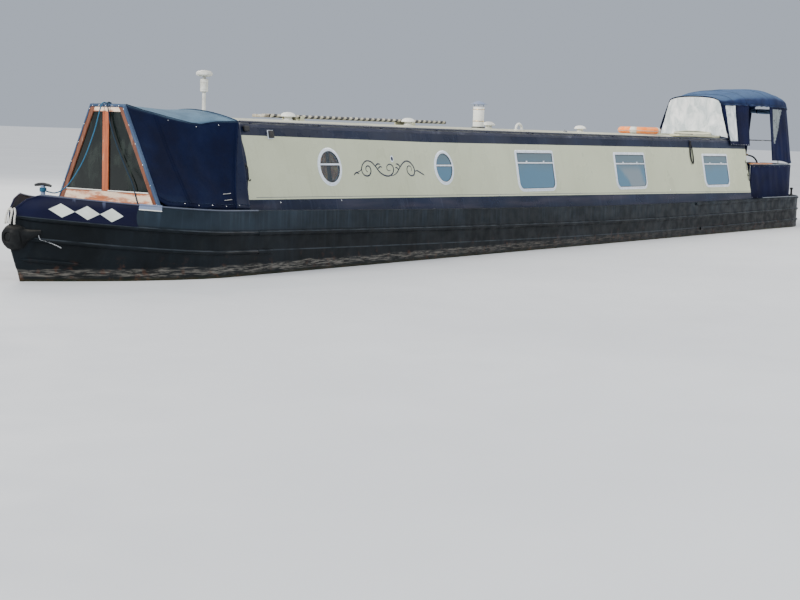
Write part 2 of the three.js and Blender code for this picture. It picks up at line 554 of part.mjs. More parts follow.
// Cratch cover: canvas from the cratch board back over the cabin front
const COVER = { frontX: 8750, aftX: 7440, thick: 8, proud: 14, ridgeZ: 2420, overX: 7250 };
function coverRing(x, inset) {
  const t = clamp((COVER.frontX - x) / (COVER.frontX - COVER.aftX), 0, 1);
  const bottom = sheer(x) + SEAT;
  const eave = lerp(CRATCH.topZ + COVER.proud, roofEdge(CABIN.frontX) + 16, t ** 1.4) - inset;
  const eaveY = lerp(CRATCH.topHalf + COVER.proud, sideY(2250) + 20, t) - inset;
  const ridge = lerp(CRATCH.topZ + COVER.proud + 2, ROOF.edgeZ + ROOF.camber + 62, t ** 2) - inset;
  const baseY = lerp(CRATCH.baseHalf + COVER.proud, 935, t) - inset * 1.1;
  return [
    [baseY, bottom], [eaveY, eave], [eaveY * 0.5, lerp(eave, ridge, 0.75)], [0, ridge],
    [-eaveY * 0.5, lerp(eave, ridge, 0.75)], [-eaveY, eave], [-baseY, bottom],
  ].map(([y, z]) => [x, y, z]);
}
piece('cratch_cover', cut(
  loft(stations(COVER.frontX, COVER.aftX, 6).map((x) => coverRing(x, 0))),
  loft(stations(COVER.frontX + 20, COVER.aftX - 20, 6).map((x) => coverRing(x, COVER.thick)
    .map(([px, y, z], i) => [px, y, i === 0 || i === 6 ? z - 20 : z])))), MATERIALS.canvas);

// Roof gear. VENTS: x of each mushroom vent on the centreline
const VENTS = [5670, 3040, 920, -1940];
VENTS.forEach((x, i) => piece(`mushroom_vent_${i + 1}`, turned([
  [0, 0], [58, 0], [40, 30], [40, 52], [92, 52], [98, 60], [72, 88], [0, 102],
], x, 0, roofZ(x, 0) + SEAT, 12), MATERIALS.cream));

const CHIMNEY = { x: 1370, y: 100, outer: 82, inner: 70, top: 2618 };
function chimney() {
  const foot = roofZ(CHIMNEY.x, 0) + SEAT;
  const pipe = turned([
    [CHIMNEY.inner, foot], [112, foot], [112, foot + 14], [90, foot + 30], [CHIMNEY.outer, foot + 34],
    [CHIMNEY.outer, CHIMNEY.top], [CHIMNEY.inner, CHIMNEY.top], [CHIMNEY.inner, foot],
  ], CHIMNEY.x, CHIMNEY.y, 0, 16);
  const hat = turned([[0, 45], [122, 32], [122, 38], [30, 84], [0, 86]], CHIMNEY.x, CHIMNEY.y, CHIMNEY.top, 16);
  const stays = [0, 120, 240].map((angle) => {
    const dx = 76 * Math.cos(degToRad(angle));
    const dy = 76 * Math.sin(degToRad(angle));
    return bar([CHIMNEY.x + dx, CHIMNEY.y + dy, CHIMNEY.top - 40], [CHIMNEY.x + dx, CHIMNEY.y + dy, CHIMNEY.top + 44], 5, 8);
  });
  return join(pipe, hat, ...stays);
}
piece('chimney', chimney(), MATERIALS.steel);

// Boat pole and plank on two bearers across the roof
function poleAndPlank() {
  const z = roofZ(5250, 100) + 30;
  const bearers = [5250, 2750].map((x) => box(x - 30, x + 30, -420, -100, roofZ(x, 100) - 0.2, z));
  const plank = box(2150, 5900, -400, -190, z - 1, z + 36);
  return join(...bearers, plank, bar([1900, -140, z + 20], [5850, -140, z + 20], 22, 10));
}
piece('pole_and_plank', poleAndPlank(), MATERIALS.timber);

const AERIAL = { x: 7270, y: 40 };
piece('aerial_mast', join(
  turned([[0, 0], [60, 0], [60, 12], [22, 20], [22, 470], [0, 470]], AERIAL.x, AERIAL.y, roofZ(AERIAL.x, AERIAL.y) + SEAT, 12),
  turned([[0, 0], [46, 0], [46, 150], [70, 160], [98, 180], [98, 200], [84, 230], [50, 246], [0, 252]],
    AERIAL.x, AERIAL.y, 2610, 20)), MATERIALS.steel);

const RING = { x: -4000, y: 60, big: 315, tube: 60 };
piece('life_ring', solid(new THREE.LatheGeometry(
  Array.from({ length: 9 }, (_, i) => {
    const angle = (2 * Math.PI * (i % 8)) / 8;
    return new THREE.Vector2(RING.big + RING.tube * Math.cos(angle), RING.tube * Math.sin(angle));
  }), 24).rotateX(Math.PI / 2)
  .translate(RING.x, RING.y, roofZ(RING.x, 0) + RING.tube + SEAT)), MATERIALS.orange);

piece('roof_board', box(-6250, -4450, 430, 620, roofZ(-5000, 430) - GAP, roofZ(-5000, 430) + 38), MATERIALS.cream);

// Bow fender and mooring stud
piece('bow_fender', cut(
  turnedForward([[0, -250], [130, -250], [142, -200], [142, -60], [126, -12], [105, 0], [0, 0]], END, 0, WATERLINE + 470, 24),
  bowBody([0.6, 0.74, 0.86, 0.95, 1.005], -STRAKE.proud - 1, 600, 1300)), MATERIALS.rubber);
piece('bow_stud', join(
  turned([[0, 0], [55, 0], [55, 14], [26, 26], [24, 255], [0, 255]], 9680, 0, BOW.deckZ + SEAT, 16),
  tube([[9680, -120, 1528], [9680, -60, 1552], [9680, 0, 1560], [9680, 60, 1552], [9680, 120, 1528]], 20, 10, 10)),
MATERIALS.hull);

// Stern dollies on the ledge outside the rail
for (const [name, side] of SIDES) {
  piece(`stern_dolly_${name}`, turned([
    [0, 0], [34, 0], [30, 12], [22, 16], [22, 110], [34, 120], [36, 140], [30, 150], [0, 152],
  ], -9905, side * 650, SHEER.low + SHEER.sternRise + SEAT, 16), MATERIALS.hull);
}

// Guard rail round the stern deck, its end boards and the canvas dodger outside it
const RAIL = { z: 1790, inset: 200, radius: 16, frontX: -7240 };
const SEAT_BOARD = { x0: -8160, x1: -7210, y0: 790, y1: 902 };
function sternRail() {
  const arc = sternArc(RAIL.inset, 16).map(([x, y]) => [x, y, RAIL.z]);
  const side = HALF_BEAM - RAIL.inset;
  const hoop = tube([[RAIL.frontX, side, RAIL.z], [-8200, side, RAIL.z], ...arc, [-8200, -side, RAIL.z],
    [RAIL.frontX, -side, RAIL.z]], RAIL.radius, 34, 8);
  const feet = [[RAIL.frontX - 16, side], [-8200, side], [-8965, side], ...[5, 11].map((i) => arc[i].slice(0, 2)),
    [-8965, -side], [-8200, -side], [RAIL.frontX - 16, -side]];
  const posts = feet.map(([x, y]) => bar([x, y, DECK.z + SEAT], [x, y, RAIL.z], 14, 6));
  const boards = SIDES.map(([, s]) => {
    const [y0, y1] = span(s * SEAT_BOARD.y0, s * SEAT_BOARD.y1);
    return box(SEAT_BOARD.x0, SEAT_BOARD.x1, y0, y1, RAIL.z + 8, RAIL.z + 34);
  });
  return join(hoop, ...posts, ...boards);
}
piece('stern_rail', sternRail(), MATERIALS.steel);
piece('stern_dodger', upright(sternWall(165, 173, RAIL.frontX + 10), DECK.z + SEAT, RAIL.z - 4), MATERIALS.canvas);

// Pram hood over the stern deck: canvas shell on a tube frame
// x, eave half width, eave z, crown z, half width at roof height, half width at the foot
const HOOD_LINES = [
  [-6370, 520, 2930, 3055, 762, 770],
  [-6700, 620, 2930, 3115, 775, 800],
  [-7150, 690, 2940, 3185, 795, 860],
  [-7900, 730, 2950, 3255, 830, 950],
  [-8650, 740, 2950, 3270, 845, 990],
  [-9050, 725, 2948, 3240, 830, 980],
  [-9400, 640, 2940, 3195, 735, 850],
  [-9800, 480, 2930, 3095, 605, 730],
  [-10090, 300, 2920, 3020, 450, 620],
];
const HOOD = { thick: 10, footZ: 1815, openX: -7200, aftOpenX: -8270, openZ: 2880, overZ: 2150, plan: 150, roofSplitZ: 2200 };
function hoodRing([x, eaveY, eaveZ, crownZ, midY, footY], inset) {
  const arch = Array.from({ length: 9 }, (_, i) => {
    const angle = (Math.PI * i) / 8;
    const y = Math.sign(Math.cos(angle)) * Math.abs(Math.cos(angle)) ** 0.85;
    return [(eaveY - inset) * y, eaveZ + (crownZ - inset - eaveZ) * Math.sin(angle) ** 0.85];
  });
  return [
    [footY - inset, 1600], [midY - inset, HOOD.roofSplitZ], ...arch, [inset - midY, HOOD.roofSplitZ], [inset - footY, 1600],
  ].map(([y, z]) => [x, y, z]);
}
function hoodLine(x) {
  const next = Math.max(1, HOOD_LINES.findIndex((row) => row[0] <= x));
  const [from, to] = [HOOD_LINES[next - 1], HOOD_LINES[next]];
  const t = (from[0] - x) / (from[0] - to[0]);
  return from.map((value, i) => lerp(value, to[i], t));
}
function hoodBody(inset) {
  const rings = HOOD_LINES.map((row) => hoodRing(row, inset));
  const plan = upright(sternEdge(HOOD.plan + inset, HOOD_LINES[0][0] - inset + 0.5), 1500, 3400);
  return common(loft(rings), plan);
}
function hood() {
  const keepOff = across([
    [-750, 2000], [750, 2000], [750, 2185],
    ...stations(735, -735, 8).map((y) => [y, roofZ(-6500, Math.min(Math.abs(y), 725)) + SEAT]), [-750, 2185],
  ], -7300, -6000);
  const hatchWay = box(-7300, -6000, -400, 400, 2200, 2420);
  return cut(hoodBody(0), hoodBody(HOOD.thick), keepOff, hatchWay,
    box(HOOD.openX, 0, -FAR, FAR, 0, HOOD.overZ),
    box(HOOD.aftOpenX, HOOD.openX + 1, -FAR, FAR, 0, HOOD.openZ),
    box(-FAR, HOOD.aftOpenX + 1, -FAR, FAR, 0, HOOD.footZ));
}
piece('hood_canvas', hood(), MATERIALS.canvas);

// Hoops of the frame: x, half width at the foot, foot z
const HOOPS = [
  [-7060, 690, roofZ(-7060, 690) + SEAT + 1.6],
  [-8650, HALF_BEAM - RAIL.inset, RAIL.z + RAIL.radius + 1.5],
  [-9500, 724, RAIL.z + RAIL.radius + 1.5],
];
function hoodFrame() {
  const inset = HOOD.thick + 36;
  const hoops = HOOPS.map(([x, footY, footZ]) => {
    const ring = hoodRing(hoodLine(x), inset).filter(([, , z]) => z > footZ + 100);
    return tube([[x, footY, footZ], ...ring, [x, -footY, footZ]], 12, 20, 6);
  });
  const ridge = tube([...HOOPS.map(([x]) => [x, 0, hoodLine(x)[3] - inset])], 12, 10, 6);
  return join(...hoops, ridge);
}
piece('hood_frame', hoodFrame(), MATERIALS.steel);

// Steering: rudder blade on its stock, with the swan neck and tiller bar above the deck
function rudder() {
  const blade = upright([
    [STEER.x + 120, 6], [STEER.x, 14], [-10070, 5], [-10070, -5], [STEER.x, -14], [STEER.x + 120, -6],
  ], 62, 450);
  const stock = bar([STEER.x, 0, 50], [STEER.x, 0, 1380], STEER.stock, 24);
  return join(blade, stock, bar([STEER.x, 0, 22], [STEER.x, 0, 60], 14, 24));
}
piece('rudder', rudder(), MATERIALS.hull);
function tiller() {
  const collar = bar([STEER.x, 0, 1380 + GAP], [STEER.x, 0, 1440], 30, 16);
  const neck = tube([
    [STEER.x, 0, 1420], [STEER.x, 0, 1520], [STEER.x - 20, 0, 1640], [STEER.x + 20, 0, 1780],
    [STEER.x + 160, 0, 1880], [STEER.x + 380, 0, 1930], [STEER.x + 600, 0, 1960],
  ], 19, 18, 8);
  const arm = bar([STEER.x + 560, 0, 1955], [STEER.x + 1100, 0, 2010], 13, 10);
  const grip = bar([STEER.x + 880, 0, 1988], [STEER.x + 1110, 0, 2011], 20, 10);
  return join(collar, neck, arm, grip);
}
piece('tiller', tiller(), MATERIALS.brass);

function propeller() {
  const hub = turnedForward([[0, -55], [26, -55], [44, -30], [48, 40], [40, 55], [0, 55]], -9430, 0, STEER.shaftZ, 20);
  const shaft = bar([-9440, 0, STEER.shaftZ], [-9160, 0, STEER.shaftZ], STEER.shaft, 24);
  const blades = [90, 210, 330].map((angle) => solid(new THREE.SphereGeometry(1, 10, 6)
    .scale(9, 72, 88).rotateZ(degToRad(28)).translate(0, 0, 112)
    .rotateX(degToRad(angle - 90)).translate(-9430, 0, STEER.shaftZ)));
  return join(hub, shaft, ...blades);
}
piece('propeller', propeller(), MATERIALS.brass);

// Bow line: from the stud up over the cratch board, then down its front. Route chosen by hand
const BOW_LINE = { radius: 7, route: [
  [9652.5, 0, 1492], [9615, 10, 1478], [9560, 24, 1466], [9500, 34, 1474], [9430, 38, 1506],
  [9350, 32, 1560], [9220, 20, 1690], [9090, 5, 1860], [8950, -12, 2120], [8870, -26, 2315],
  [8836, -33, 2392], [8812, -37, 2426], [8785, -39, 2438], [8755, -37, 2434], [8733, -22, 2433.4],
  [8727, 2, 2433.4], [8739, 26, 2433.4], [8763, 38, 2436], [8790, 44, 2442], [8812, 50, 2436],
  [8822, 56, 2405], [8812, 64, 2340], [8803, 78, 2217], [8803, 178, 1993], [8803, 322, 1742],
  [8803, 429, 1573], [8803, 490, 1410], [8808, 535, 1322],
] };
piece('bow_line', tube(BOW_LINE.route, BOW_LINE.radius, 72, 8), MATERIALS.rope);

// Spare line coiled over the cabin side from the roof edge
const COIL = { x: -4630, topZ: 2238, bottomZ: 1795, half: 62, thick: 22 };
function sideCoil() {
  const middle = (COIL.topZ + COIL.bottomZ) / 2;
  const height = (COIL.topZ - COIL.bottomZ) / 2;
  const oval = new THREE.Shape().absellipse(0, 0, COIL.half, height, 0, 2 * Math.PI, false);
  oval.holes.push(new THREE.Path().absellipse(0, 0, COIL.half - 26, height - 26, 0, 2 * Math.PI, true));
  return slab(oval, 1, 1 + COIL.thick, onSide(1, COIL.x, middle));
}
piece('rope_coil', sideCoil(), MATERIALS.darkRope);

export default group;
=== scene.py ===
# A steel narrowboat with a canvas hood over the stern and a canvas cover over the bow well.
# Metres. +X is the bow, +Y is port, +Z is up, and the water is at z 0.55.
from itertools import product
from math import acos, atan, copysign, cos, exp, hypot, pi, radians, sin, sqrt, tau
from types import SimpleNamespace as Sizes

import bmesh
import bpy
import numpy as np
from mathutils import Matrix, Vector


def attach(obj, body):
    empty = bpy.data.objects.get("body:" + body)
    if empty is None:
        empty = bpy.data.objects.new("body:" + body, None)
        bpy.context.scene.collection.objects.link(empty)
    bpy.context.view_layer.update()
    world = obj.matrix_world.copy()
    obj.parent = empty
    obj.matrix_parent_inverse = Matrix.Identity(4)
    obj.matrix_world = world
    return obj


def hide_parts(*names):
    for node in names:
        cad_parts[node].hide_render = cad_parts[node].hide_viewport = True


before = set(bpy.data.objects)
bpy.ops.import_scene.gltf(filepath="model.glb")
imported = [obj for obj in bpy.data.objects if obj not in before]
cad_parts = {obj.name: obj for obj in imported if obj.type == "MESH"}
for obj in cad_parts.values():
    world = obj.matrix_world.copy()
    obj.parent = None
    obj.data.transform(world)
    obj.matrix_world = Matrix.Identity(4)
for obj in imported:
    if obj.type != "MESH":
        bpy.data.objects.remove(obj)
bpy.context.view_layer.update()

# Where the camera stands, and how it is turned, in degrees
EYE = (20.713, 12.361, 2.243)
AIM = Sizes(yaw=-144.94, pitch=6.32, roll=1.82, lens=69.12)

WATER = 0.55
SIDES = (("port", 1), ("starboard", -1))
HALF_BEAM, CHINE_HALF, TURN_Z = 1.02, 1.005, 0.49
BOW = Sizes(aft=7.4, shoulder=7.93, stem_half=0.02, wall=0.06, bulwark=0.012)
# The bow's rim rounds down to the stem from this share of its length
NOSE = Sizes(start=0.91, drop=0.2, power=1.7)
# Stem profile: height, forward reach
STEM = (
    (0, 9.81), (0.3, 9.86), (0.55, 9.93), (0.7, 10.025), (0.875, 10.09),
    (1.175, 10.122), (1.29, 10.118), (1.4, 10.085), (1.5, 9.975),
)
STERN = Sizes(start=-8.965, aft=-10.143, power=2.3, top=1.165)
STRAKE = Sizes(drop=0.255, step=0.215)
CABIN = Sizes(front=7.42, aft=-7.11, base_z=1.25, base_y=0.925, lean=0.2)
ROOF = Sizes(edge=2.245, rise=0.02, camber=0.062, thick=0.05, hatch_front=-6.4, hatch_half=0.33)

# Openings in each cabin side, from the bow aft: kind, number, centre x, centre z
OPENINGS = (
    ("porthole", 1, 5.85, 1.767), ("porthole", 2, 3.34, 1.752), ("window", 1, 0.885, 1.703),
    ("window", 2, -2.2, 1.692), ("window", 3, -5.63, 1.688),
)
PORTHOLE_RADIUS = 0.215
WINDOW = Sizes(width=1.08, height=0.57, top_round=0.02, bottom_round=0.12)

CRATCH = Sizes(aft=8.757, front=8.792, top=2.41, base=1.3003, rail=0.062)
# Half widths of the cratch board at its top and foot; the starboard stile stands further in
BOARD_HALF = {1: (0.255, 0.82), -1: (0.235, 0.76)}
COVER = Sizes(front=8.75, aft=7.44)
# How far the cover's eave sags: share of its length from the board, metres
COVER_SAG = ((0, 0), (0.14, 0.045), (0.35, 0.086), (0.56, 0.115), (0.65, 0.112), (0.78, 0.055), (1, 0))
# Roof gear
VENTS = (5.67, 3.04, 0.92, -1.94)
CHIMNEY = Sizes(x=1.37, y=0.1, outer=0.082, inner=0.07, top=2.618)
AERIAL = Sizes(x=7.27, y=0.04)
LIFE_RING = Sizes(x=-4.0, y=0.06, big=0.315, tube=0.06)
RAIL = Sizes(z=1.79, inset=0.2, radius=0.016, front=-7.24)
STEER_X = -9.68
# Hood sections: x, eave half width, eave z, crown z, half width at z 2.2, half width at z 1.6
HOOD = (
    (-6.37, 0.52, 2.93, 3.055, 0.762, 0.77), (-6.7, 0.62, 2.93, 3.115, 0.775, 0.8),
    (-7.15, 0.69, 2.94, 3.185, 0.795, 0.86), (-7.9, 0.73, 2.95, 3.255, 0.83, 0.95),
    (-8.65, 0.74, 2.95, 3.27, 0.845, 0.99), (-9.05, 0.725, 2.948, 3.24, 0.83, 0.98),
    (-9.4, 0.64, 2.94, 3.195, 0.735, 0.85), (-9.8, 0.48, 2.93, 3.095, 0.605, 0.73),
    (-10.07, 0.3, 2.92, 3.02, 0.45, 0.62),
)
# Bow line: radius, then its route from the stud over the cratch board and down its front
BOW_LINE = Sizes(radius=0.007, route=(
    (9.6525, 0, 1.492), (9.615, 0.01, 1.478), (9.56, 0.024, 1.466), (9.5, 0.034, 1.474), (9.43, 0.038, 1.506),
    (9.35, 0.032, 1.56), (9.22, 0.02, 1.69), (9.09, 0.005, 1.86), (8.95, -0.012, 2.12), (8.87, -0.026, 2.315),
    (8.836, -0.033, 2.392), (8.812, -0.037, 2.426), (8.785, -0.039, 2.438), (8.755, -0.037, 2.434),
    (8.733, -0.022, 2.4334), (8.727, 0.002, 2.4334), (8.739, 0.026, 2.4334), (8.763, 0.038, 2.436),
    (8.79, 0.044, 2.442), (8.812, 0.05, 2.436), (8.822, 0.056, 2.405), (8.812, 0.064, 2.34),
    (8.803, 0.078, 2.217), (8.803, 0.178, 1.993), (8.803, 0.322, 1.742), (8.803, 0.429, 1.573),
    (8.803, 0.49, 1.41), (8.808, 0.535, 1.322),
))
# Line hung on the cabin side: centre x, top and bottom, half width of a turn, turns, rope radius
SIDE_LINE = Sizes(x=-4.63, top=2.229, bottom=1.804, half=0.062, turns=3, radius=0.0075)


# Lines of the hull and cabin
def table_value(rows, key):
    return float(np.interp(key, [row[0] for row in rows], [row[1] for row in rows]))


def clamp(value, low=0.0, high=1.0):
    return max(low, min(high, value))


def lerp(a, b, t):
    return a + (b - a) * t


def spaced(start, end, count):
    return [lerp(start, end, i / (count - 1)) for i in range(count)]


def circle(count, wide=1.0, high=None):
    """Points round a circle or an oval, as (across, up) pairs."""
    high = wide if high is None else high
    return [(wide * cos(a), high * sin(a)) for a in spaced(0, tau, count + 1)[:-1]]


def mirror(points, side):
    """Points of the port side as they are, or mirrored to starboard when side is -1."""
    return [Vector((x, side * y, z)) for x, y, z in points]


def sheer(x):
    rise = 0.144 * max(0, (x + 3.08) / 10.53) ** 1.6
    flare = 0.12 * max(0, (x - BOW.shoulder) / 2) ** 1.5
    return 1.14 + rise + flare + 0.025 * clamp((-3.08 - x) / 5.885) ** 2


def hull_half(z):
    return lerp(CHINE_HALF, HALF_BEAM, clamp(z / TURN_Z))


def bow_point(t, z, inset=0.0):
    """Port bow skin: t runs from the shoulder (0) to the stem (1), inset is square to the skin."""
    if t <= 0:
        return Vector((lerp(BOW.shoulder, BOW.aft, -t), hull_half(z) - inset, z))
    run = table_value(STEM, z) - BOW.shoulder
    reach = hull_half(z) - BOW.stem_half
    power = 1.65 + 0.2 * clamp((z - WATER) / 0.7, -0.5, 1)
    half = BOW.stem_half + reach * (1 - t ** power)
    slope = reach * power * t ** (power - 1) / run
    return Vector((BOW.shoulder + t * run, max(half - inset * hypot(1, slope), 0.004), z))


def bow_sheer(t):
    return sheer(lerp(BOW.shoulder, BOW.aft, -t) if t <= 0 else lerp(BOW.shoulder, 10.08, t))


def bow_top(t):
    return bow_sheer(t) - NOSE.drop * clamp((t - NOSE.start) / (1 - NOSE.start)) ** NOSE.power


def side_y(z):
    return CABIN.base_y - CABIN.lean * (z - CABIN.base_z)


def roof_edge(x):
    return ROOF.edge + ROOF.rise * max(0, x / CABIN.front) ** 2


def roof_z(x, y):
    return roof_edge(x) + ROOF.camber * (1 - (y / side_y(roof_edge(x))) ** 2)


def stern_curve(inset, count=65):
    """Plan of the round stern, from the port corner round to the starboard corner."""
    length = STERN.start - STERN.aft - inset
    line = []
    for angle in spaced(0, pi, count):
        power = 2 / STERN.power
        y = copysign(abs(cos(angle)) ** power, cos(angle))
        line.append((STERN.start - length * sin(angle) ** power, (HALF_BEAM - inset) * y))
    return line


def stern_path(inset, front, count=65):
    side = HALF_BEAM - inset
    ahead = [(x, side) for x in spaced(front, STERN.start, 12)[:-1]]
    return ahead + stern_curve(inset, count) + [(x, -y) for x, y in reversed(ahead)]


def on_side(side, x, z):
    """Place on a cabin side: right is aft on port, up follows the lean, out is square to the wall."""
    tilt = atan(CABIN.lean)
    right = Vector((-side, 0, 0))
    up = Vector((0, -side * sin(tilt), cos(tilt)))
    out = Vector((0, side * cos(tilt), sin(tilt)))
    place = Matrix((right, up, out)).transposed().to_4x4()
    place.translation = (x, side * side_y(z), z)
    return place


# Making shapes
class Shape:
    """Gathers faces with their finish and their place on the cloth or timber, and becomes one object."""

    def __init__(self):
        self.points = []
        self.faces = []
        self.coats = []
        self.spots = []

    def grid(self, rows, coat=0, wrap=False, ends=False, turn_in=False, coat_of=None):
        """Skin through rows of points; wrap joins each row's end to its start, ends closes the outer rows."""
        rows = [[Vector(p) for p in row] for row in rows]
        if turn_in:
            rows = [row[::-1] for row in rows]
        first, wide = len(self.points), len(rows[0])
        middle = rows[len(rows) // 2]
        across, along = [0.0], [0.0]
        for a, b in zip(middle, middle[1:] + middle[:1]):
            across.append(across[-1] + (b - a).length)
        for a, b in zip(rows, rows[1:]):
            along.append(along[-1] + max((b[k] - a[k]).length for k in (0, wide // 2, wide - 1)))
        for row in rows:
            self.points.extend(row)
        for r in range(len(rows) - 1):
            for c in range(wide if wrap else wide - 1):
                here, there = first + r * wide, first + (r + 1) * wide
                after = (c + 1) % wide
                self.faces.append((here + c, here + after, there + after, there + c))
                self.coats.append(coat_of(r, c) if coat_of else coat)
                self.spots.extend(
                    (across[i], along[j]) for i, j in ((c, r), (c + 1, r), (c + 1, r + 1), (c, r + 1)))
        if ends:
            for start, row in ((first, rows[0]), (first + (len(rows) - 1) * wide, rows[-1])):
                loop, spots = list(range(start, start + wide)), [(p.x + p.y, p.z) for p in row]
                self.faces.append(tuple(loop[::-1] if start == first else loop))
                self.coats.append(coat)
                self.spots.extend(spots[::-1] if start == first else spots)
        return self

    def tube(self, line, radius, sides=12, flat=1, closed=False):
        """Round bar along a line; radius may be one number or one for each point, flat presses its height."""
        line = [Vector(p) for p in line]
        count = len(line)
        radii = radius if hasattr(radius, "__len__") else [radius] * count
        ahead = []
        for i in range(count):
            before = line[i - 1] if i or closed else line[0]
            after = line[(i + 1) % count] if i + 1 < count or closed else line[-1]
            ahead.append((after - before).normalized())
        side = ahead[0].orthogonal().normalized()
        if abs(ahead[0].z) < 0.9:
            side = ahead[0].cross(Vector((0, 0, 1))).normalized()
        rows = []
        for point, way, size in zip(line, ahead, radii):
            side = (side - way * side.dot(way)).normalized()
            up = side.cross(way)
            rows.append([point + side * a + up * b for a, b in circle(sides, size, size * flat)])
        if closed:
            rows.append(rows[0])
        return self.grid(rows, wrap=True, ends=not closed)

    def turned(self, profile, place, sides=28, axis="z"):
        """Profile of (radius, height) pairs turned about an upright or lengthwise line through place."""
        rows = []
        for radius, height in profile:
            ring = [(a, b, height) if axis == "z" else (height, a, b) for a, b in circle(sides, radius)]
            rows.append([Vector(place) + Vector(p) for p in ring])
        return self.grid(rows, wrap=True, ends=True)

    def block(self, low, high, ease=0.004, coat=0, place=None):
        """Squared piece with eased edges, in the boat's frame or in the frame of place."""
        low, high = Vector(low), Vector(high)
        middle, half = (low + high) / 2, (high - low) / 2
        ease = min(ease, *(0.45 * h for h in half))
        lump = bmesh.new()
        for corner in product((-1, 1), repeat=3):
            for k in range(3):
                pulled = [s * (h - (0 if j == k else ease)) for j, (s, h) in enumerate(zip(corner, half))]
                lump.verts.new(middle + Vector(pulled))
        bmesh.ops.convex_hull(lump, input=lump.verts)
        bmesh.ops.dissolve_limit(lump, angle_limit=0.01, verts=lump.verts, edges=lump.edges)
        return self.add(lump, coat, place)

    def add(self, lump, coat=0, place=None):
        """Takes over a finished bmesh."""
        lump.verts.index_update()
        first = len(self.points)
        self.points.extend((place @ v.co if place else v.co.copy()) for v in lump.verts)
        for f in lump.faces:
            self.faces.append(tuple(first + v.index for v in f.verts))
            self.coats.append(coat)
            self.spots.extend((v.co.x + v.co.y, v.co.z + v.co.y) for v in f.verts)
        lump.free()
        return self

    def build(self, name, finishes, body="hull", slot=None, node=None, closed=True, crease=35, thick=None):
        """Makes the object. node is the carried-over part that it stands for, thick makes a cloth of it."""
        finishes = [finishes] if isinstance(finishes, str) else finishes
        mesh = bpy.data.meshes.new(name)
        mesh.from_pydata(self.points, [], self.faces)
        chart = mesh.uv_layers.new(name="chart")
        chart.data.foreach_set("uv", [n for spot in self.spots for n in spot])
        mesh.polygons.foreach_set("material_index", self.coats)
        for finish in finishes:
            mesh.materials.append(FINISH[finish])
        lump = bmesh.new()
        lump.from_mesh(mesh)
        bmesh.ops.remove_doubles(lump, verts=lump.verts, dist=1e-5)
        if closed:
            bmesh.ops.recalc_face_normals(lump, faces=lump.faces)
        lump.to_mesh(mesh)
        lump.free()
        mesh.shade_smooth()
        mesh.set_sharp_from_angle(angle=radians(crease))
        piece = bpy.data.objects.new(name, mesh)
        bpy.context.collection.objects.link(piece)
        if thick:
            wall = piece.modifiers.new("cloth", "SOLIDIFY")
            wall.thickness = thick
            wall.offset = 0
        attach(piece, body)
        if node:
            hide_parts(node)
        return piece

    def cloth(self, name, finishes, thick=0.002, crease=60, **given):
        """Makes an open sheet with a thickness."""
        return self.build(name, finishes, closed=False, crease=crease, thick=thick, **given)


def smooth_line(points, count):
    """Even points along a smooth line through the given ones."""
    points = [Vector(p) for p in points]
    line = []
    for i in range(len(points) - 1):
        p0, p1, p2, p3 = points[max(i - 1, 0)], points[i], points[i + 1], points[min(i + 2, len(points) - 1)]
        for k in range(12):
            t = k / 12
            line.append(0.5 * (2 * p1 + (p2 - p0) * t + (2 * p0 - 5 * p1 + 4 * p2 - p3) * t * t
                               + (3 * p1 - p0 - 3 * p2 + p3) * t ** 3))
    line.append(points[-1])
    along = np.concatenate([[0], np.cumsum([(b - a).length for a, b in zip(line, line[1:])])])
    even = np.linspace(0, along[-1], count)
    return [Vector(np.interp(s, along, [p[k] for p in line]) for k in range(3)) for s in even]


def wobble(seed, *place):
    """Smooth unevenness from -1 to 1 for folds and slack, the same on every run."""
    return sum(
        sin(seed * (k + 1.7) + (1.9 + 0.8 * k) * p * (k + 1) + 0.7 * k)
        for k in range(3) for p in place
    ) / (3 * len(place))


# Shader nodes
class Tree:
    """Shorthand for placing nodes in one tree; kinds without a prefix are shader nodes."""

    def __init__(self, tree):
        self.tree = tree

    def feed(self, socket, value):
        if isinstance(value, bpy.types.NodeSocket):
            self.tree.links.new(value, socket)
        else:
            socket.default_value = value

    def add(self, kind, given, out=0, **settings):
        node = self.tree.nodes.new(kind if "Node" in kind else "ShaderNode" + kind)
        for key, value in settings.items():
            setattr(node, key, value)
        for key, value in given.items():
            self.feed(node.inputs[key], value)
        return node.outputs[out]

    def use(self, effect, **given):
        node = self.tree.nodes.new("ShaderNodeGroup")
        node.node_tree = effect
        for key, value in given.items():
            self.feed(node.inputs[key], value)
        return node.outputs

    def math(self, operation, *values):
        return self.add("Math", dict(enumerate(values)), operation=operation)

    def sum(self, a, b):
        return self.math("ADD", a, b)

    def less(self, a, b):
        return self.math("SUBTRACT", a, b)

    def times(self, *values):
        result = values[0]
        for value in values[1:]:
            result = self.math("MULTIPLY", result, value)
        return result

    def over(self, a, b):
        return self.math("DIVIDE", a, b)

    def size(self, a):
        return self.math("ABSOLUTE", a)

    def ramp(self, value, start, end, low=0.0, high=1.0):
        return self.add(
            "MapRange", {0: value, 1: start, 2: end, 3: low, 4: high}, interpolation_type="SMOOTHSTEP")

    def mix(self, share, a, b):
        return self.add("Mix", {0: share, 6: a, 7: b}, out=2, data_type="RGBA")

    def stretch(self, place, x, y, z):
        return self.add("VectorMath", {0: place, 1: (x, y, z)}, operation="MULTIPLY")

    def noise(self, place, scale, detail=3.0, rough=0.5, bend=0.0):
        given = {"Vector": place, "Scale": scale, "Detail": detail, "Roughness": rough, "Distortion": bend}
        return self.add("TexNoise", given)

    def axes(self, place):
        node = self.tree.nodes.new("ShaderNodeSeparateXYZ")
        self.feed(node.inputs[0], place)
        return node.outputs


